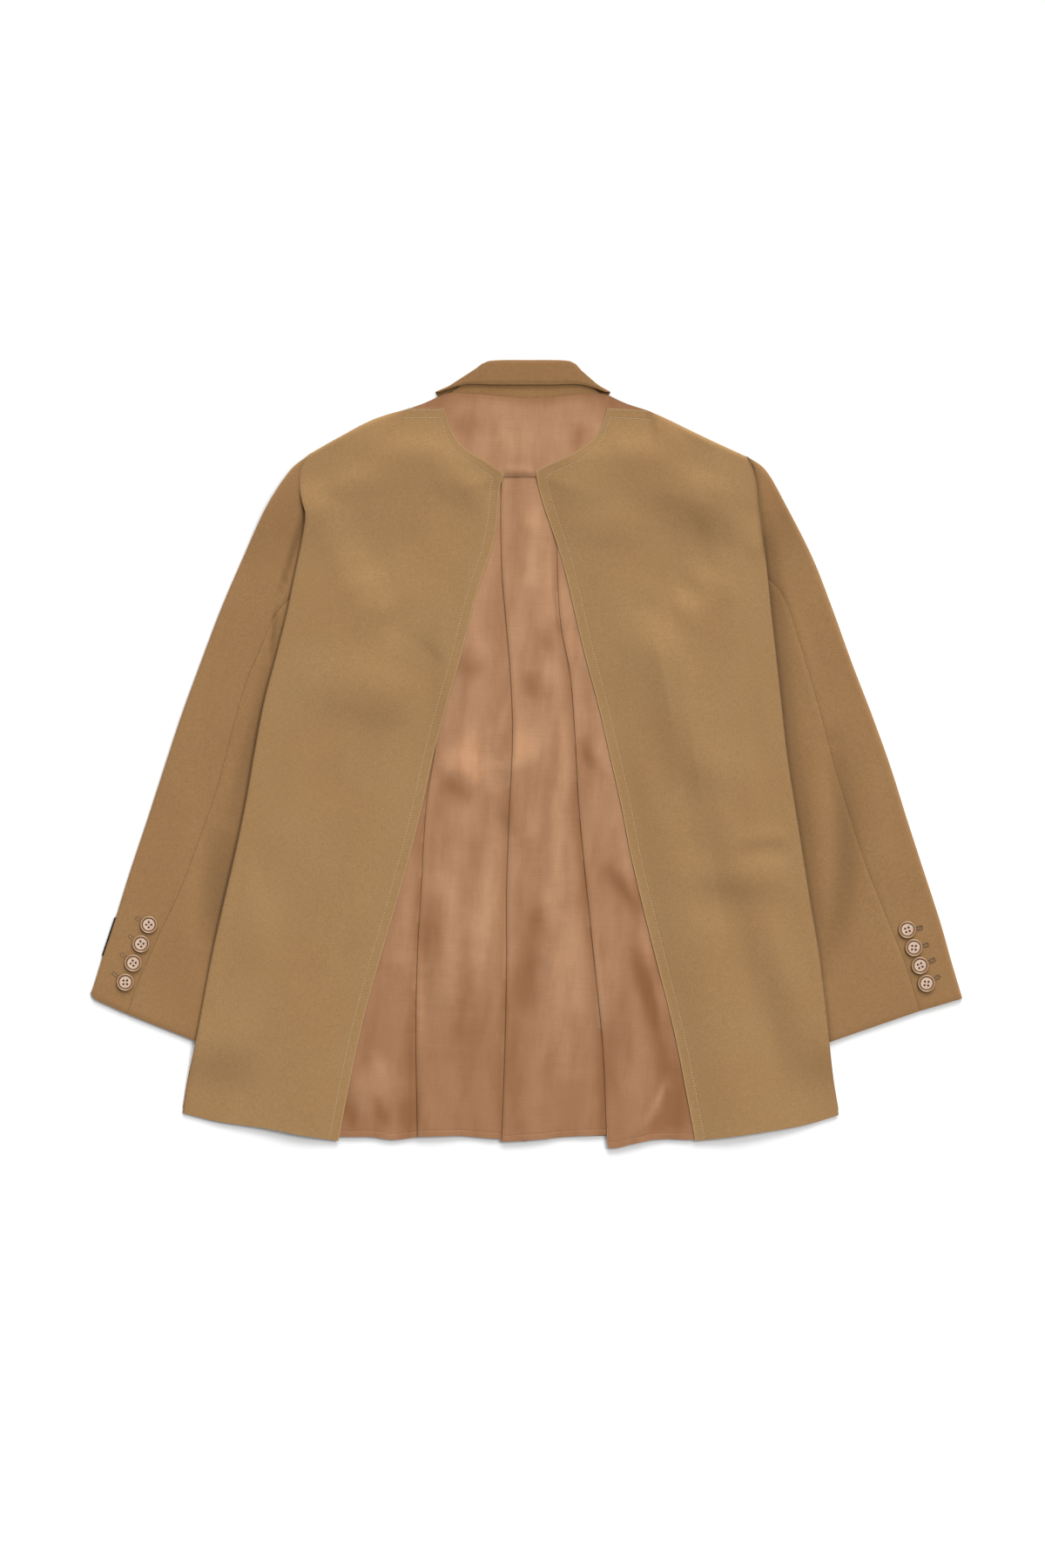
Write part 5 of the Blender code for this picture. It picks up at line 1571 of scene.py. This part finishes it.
# The rows of the section that its upper side takes.
UPPER_ROWS = 12
CRISP_ANGLE = 40
HOLE_CENTRES = 2.6
HOLE_RADIUS = 1.1
HOLE_SIDES = 20
BUTTON_HOLES = 4
DRILL_LENGTH = 10.0
THREAD_CLEAR = 0.05
THREAD_SIDES = 10
THREAD_LOW = 0.2
THREAD_TOP = 1.3
# Cuff buttons, from the top one down. Each is turned by so many degrees.
CUFF_BUTTONS = table(
    "left_x left_y left_turn right_x right_y right_turn",
    (374.5, -169.5, 43, 378.5, -174.5, 18), (382.3, -188.6, 52, 385, -192.3, -3),
    (390, -207.6, 53, 391.2, -210.1, 23), (397.8, -226.6, 0, 397.5, -227.8, -6),
)
# The far end of each buttonhole, from the top one down.
BUTTONHOLES = table(
    "left_x left_y right_x right_y",
    (386, -163, 392, -172), (393, -181, 398, -189), (401, -199, 404.5, -204), (409, -218, 409, -221),
)
PURL_PITCH = 0.62
PURL_RADIUS = 0.48
PURL_LIFT = 0.12
# The slit's stitches start this far from the button's middle and stop this far short of the eyelet's.
PURL_START = 5
PURL_STOP = 1.2
# Where a stitch starts and ends, from the middle of the slit and of the eyelet.
SLIT_HALF = 0.55
PURL_REACH = 2.2
EYELET_HALF = 1.0
EYELET_REACH = 2.54
EYELET_TURNS = range(-130, 131, 24)
NEAR_WANDER = 0.12
FAR_WANDER = 0.16


def ring_of(radius, sides, height, x=0, y=0):
    """Points of a level ring."""
    angles = [2 * pi * k / sides for k in range(sides)]
    return [(x + radius * cos(angle), y + radius * sin(angle), height) for angle in angles]


def turned(section, sides):
    """Points and faces of a section turned about the upright axis, closed on the axis at both ends."""
    radii, heights = section["radius"], section["height"]
    points = [(0, 0, heights[0])]
    for radius, height in zip(radii[1:-1], heights[1:-1]):
        points += ring_of(radius, sides, height)
    points.append((0, 0, heights[-1]))
    last = len(points) - 1
    faces = [(0, 1 + k, 1 + (k + 1) % sides) for k in range(sides)]
    for a in range(1, last - sides, sides):
        faces += [face[:1] + face[:0:-1] for face in ring_faces(a, sides)]
    a = last - sides
    faces += [(a + k, last, a + (k + 1) % sides) for k in range(sides)]
    return points, faces


def rods(radius, low, high, sides):
    """Points and faces of an upright closed rod at each of a button's holes."""
    points, faces = [], []
    for k in range(BUTTON_HOLES):
        angle = pi / 4 + k * 2 * pi / BUTTON_HOLES
        faces += tube(len(points), 2, sides)
        for z in (low, high):
            points += ring_of(radius, sides, z, HOLE_CENTRES * cos(angle), HOLE_CENTRES * sin(angle))
    return points, faces


def drilled_button():
    """Mesh of a button with four holes right through."""
    blank = mesh_object("button_blank", *turned(TURNED_SECTION, TURNED_SIDES), BUTTON)
    bits = rods(HOLE_RADIUS, -DRILL_LENGTH / 2, DRILL_LENGTH / 2, HOLE_SIDES)
    drill = mesh_object("button_drill", *bits, BUTTON)
    holes = blank.modifiers.new("holes", "BOOLEAN")
    holes.operation = "DIFFERENCE"
    holes.object = drill
    drilled = with_modifiers(blank)
    for guide in (blank, drill):
        bpy.data.objects.remove(guide)
    drilled.name = "cuff_button"
    places = np.array([vertex.co for vertex in drilled.vertices]) / MM
    radius = np.hypot(places[:, 0], places[:, 1])
    rim = np.interp(radius, *(TURNED_SECTION[key][:UPPER_ROWS] for key in ("radius", "rim")))
    add_values(drilled, "ring", rim)
    drilled.shade_smooth()
    drilled.set_sharp_from_angle(angle=radians(CRISP_ANGLE))
    return drilled


def buttons():
    button_mesh = drilled_button()
    sewing = rods(HOLE_RADIUS - THREAD_CLEAR, THREAD_LOW, THREAD_TOP, THREAD_SIDES)
    for side in SIDES:
        xs, ys = of_side(CUFF_BUTTONS, side)
        for k, (x, y, turn) in enumerate(zip(xs, ys, CUFF_BUTTONS[side.name + "_turn"])):
            seat = sleeve_thick(y + BUTTON_RADIUS) + SEAT_GAP
            name = f"button_{side.name}_{k + 1}"
            button = placed(name + "_turned", button_mesh)
            sewn = mesh_object(name + "_thread", *sewing, DARK_THREAD)
            for piece in (button, sewn):
                piece.location = (side.sign * x * MM, y * MM, seat * MM)
                piece.rotation_euler.z = radians(turn)
            on_garment(button, "button", name)
            on_garment(sewn, "button")


def buttonhole(side, k):
    """Worked buttonhole: close stitches across a slit and round its eyelet, half hidden by the button."""
    ends_on_cuff = [np.stack(of_side(rows, side), axis=-1)[k] for rows in (CUFF_BUTTONS, BUTTONHOLES)]
    start, stop = (end * [side.sign, 1] for end in ends_on_cuff)
    length = np.linalg.norm(stop - start)
    way = (stop - start) / length
    across = np.array([-way[1], way[0]])
    rng = np.random.default_rng(40 + 5 * side.sign + k)
    ends = []

    def stitch(near, far):
        near, far = near + rng.normal(0, NEAR_WANDER, 2), far + rng.normal(0, FAR_WANDER, 2)
        ends.append([[*point, sleeve_thick(point[1]) + PURL_LIFT] for point in (near, far)])

    for at in np.arange(PURL_START, length - PURL_STOP, PURL_PITCH):
        middle = start + way * at
        for lip in (-across, across):
            stitch(middle + lip * SLIT_HALF, middle + lip * PURL_REACH)
    for turn in EYELET_TURNS:
        spoke = way * cos(radians(turn)) + across * sin(radians(turn))
        stitch(stop + spoke * EYELET_HALF, stop + spoke * EYELET_REACH)
    return ends


def buttonholes():
    for side in SIDES:
        ends = [end for k in range(len(BUTTONHOLES["left_x"])) for end in buttonhole(side, k)]
        stitches("buttonholes_" + side.name, ends, PURL_RADIUS, BUTTONHOLE)


TAB_STEP = 1.2
# Most of the tab's width is out of sight, sewn in under the sleeve.
TAB_CUT = (12.0, 38.0)


def tab():
    points, _ = fine(tab_grid(), TAB_STEP)
    cloth("cuff_tab", points, TAB, "tab", "folded", ("sleeve_left_upper",), cut=TAB_CUT)


# ---- studio

# Daylight from two soft suns, by bearing from the collar and height above the floor, in degrees: a low one
# beyond the collar and a high one over the right sleeve.
SUNS = table("bearing height strength spread", (10, 33, 2.75, 42), (62, 60, 1.35, 24))
SUN_DISTANCE = 3
SKY = 0.36
SKY_COLOUR = (0.98, 0.99, 1.0, 1)
FLOOR_SIZE = 30
FLOOR_Z = -0.0002
FLOOR_COLOUR = (0.95, 0.95, 0.95, 1)
CAMERA_PLACE = (-0.0035, -0.0298, 8.65)
LENS = 200
SENSOR = 36
CLIP_END = 50


def suns():
    """The two suns as lamps, each aimed at the blazer."""
    made = []
    for k, (bearing, height, strength, spread) in enumerate(zip(*SUNS.values())):
        lamp = bpy.data.lights.new(f"sun_{k + 1}", "SUN")
        lamp.energy = strength
        lamp.angle = radians(spread)
        bearing, height = radians(bearing), radians(height)
        place = Vector((sin(bearing) * cos(height), cos(bearing) * cos(height), sin(height)))
        holder = placed(lamp.name, lamp)
        holder.location = place * SUN_DISTANCE
        holder.rotation_euler = place.to_track_quat("Z", "Y").to_euler()
        holder.visible_camera = False
        made.append(holder)
    return made


def studio():
    """A plain white floor under soft daylight from beyond the collar."""
    scene = bpy.context.scene
    scene.view_settings.view_transform = "Standard"
    world = bpy.data.worlds.new("daylight")
    world.use_nodes = True
    sky = world.node_tree.nodes["Background"]
    sky.inputs["Color"].default_value = SKY_COLOUR
    sky.inputs["Strength"].default_value = SKY
    scene.world = world
    bpy.ops.mesh.primitive_plane_add(size=FLOOR_SIZE, location=(0, 0, FLOOR_Z))
    floor = bpy.context.object
    floor.name = "floor"
    pale = Shader("floor_white", Roughness=0.9, Specular_IOR_Level=0.1)
    floor.data.materials.append(pale.finish(FLOOR_COLOUR))
    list(suns())
    camera = placed("camera", bpy.data.cameras.new("camera"))
    camera.location = CAMERA_PLACE
    camera.data.lens = LENS
    camera.data.sensor_width = SENSOR
    camera.data.clip_end = CLIP_END
    scene.camera = camera


def main():
    studio()
    for side in SIDES:
        body(side)
        for upper in (True, False):
            sleeve_piece(side, upper)
    hem_stitches(*pleats())
    yoke()
    collar()
    buttons()
    buttonholes()
    tab()


main()
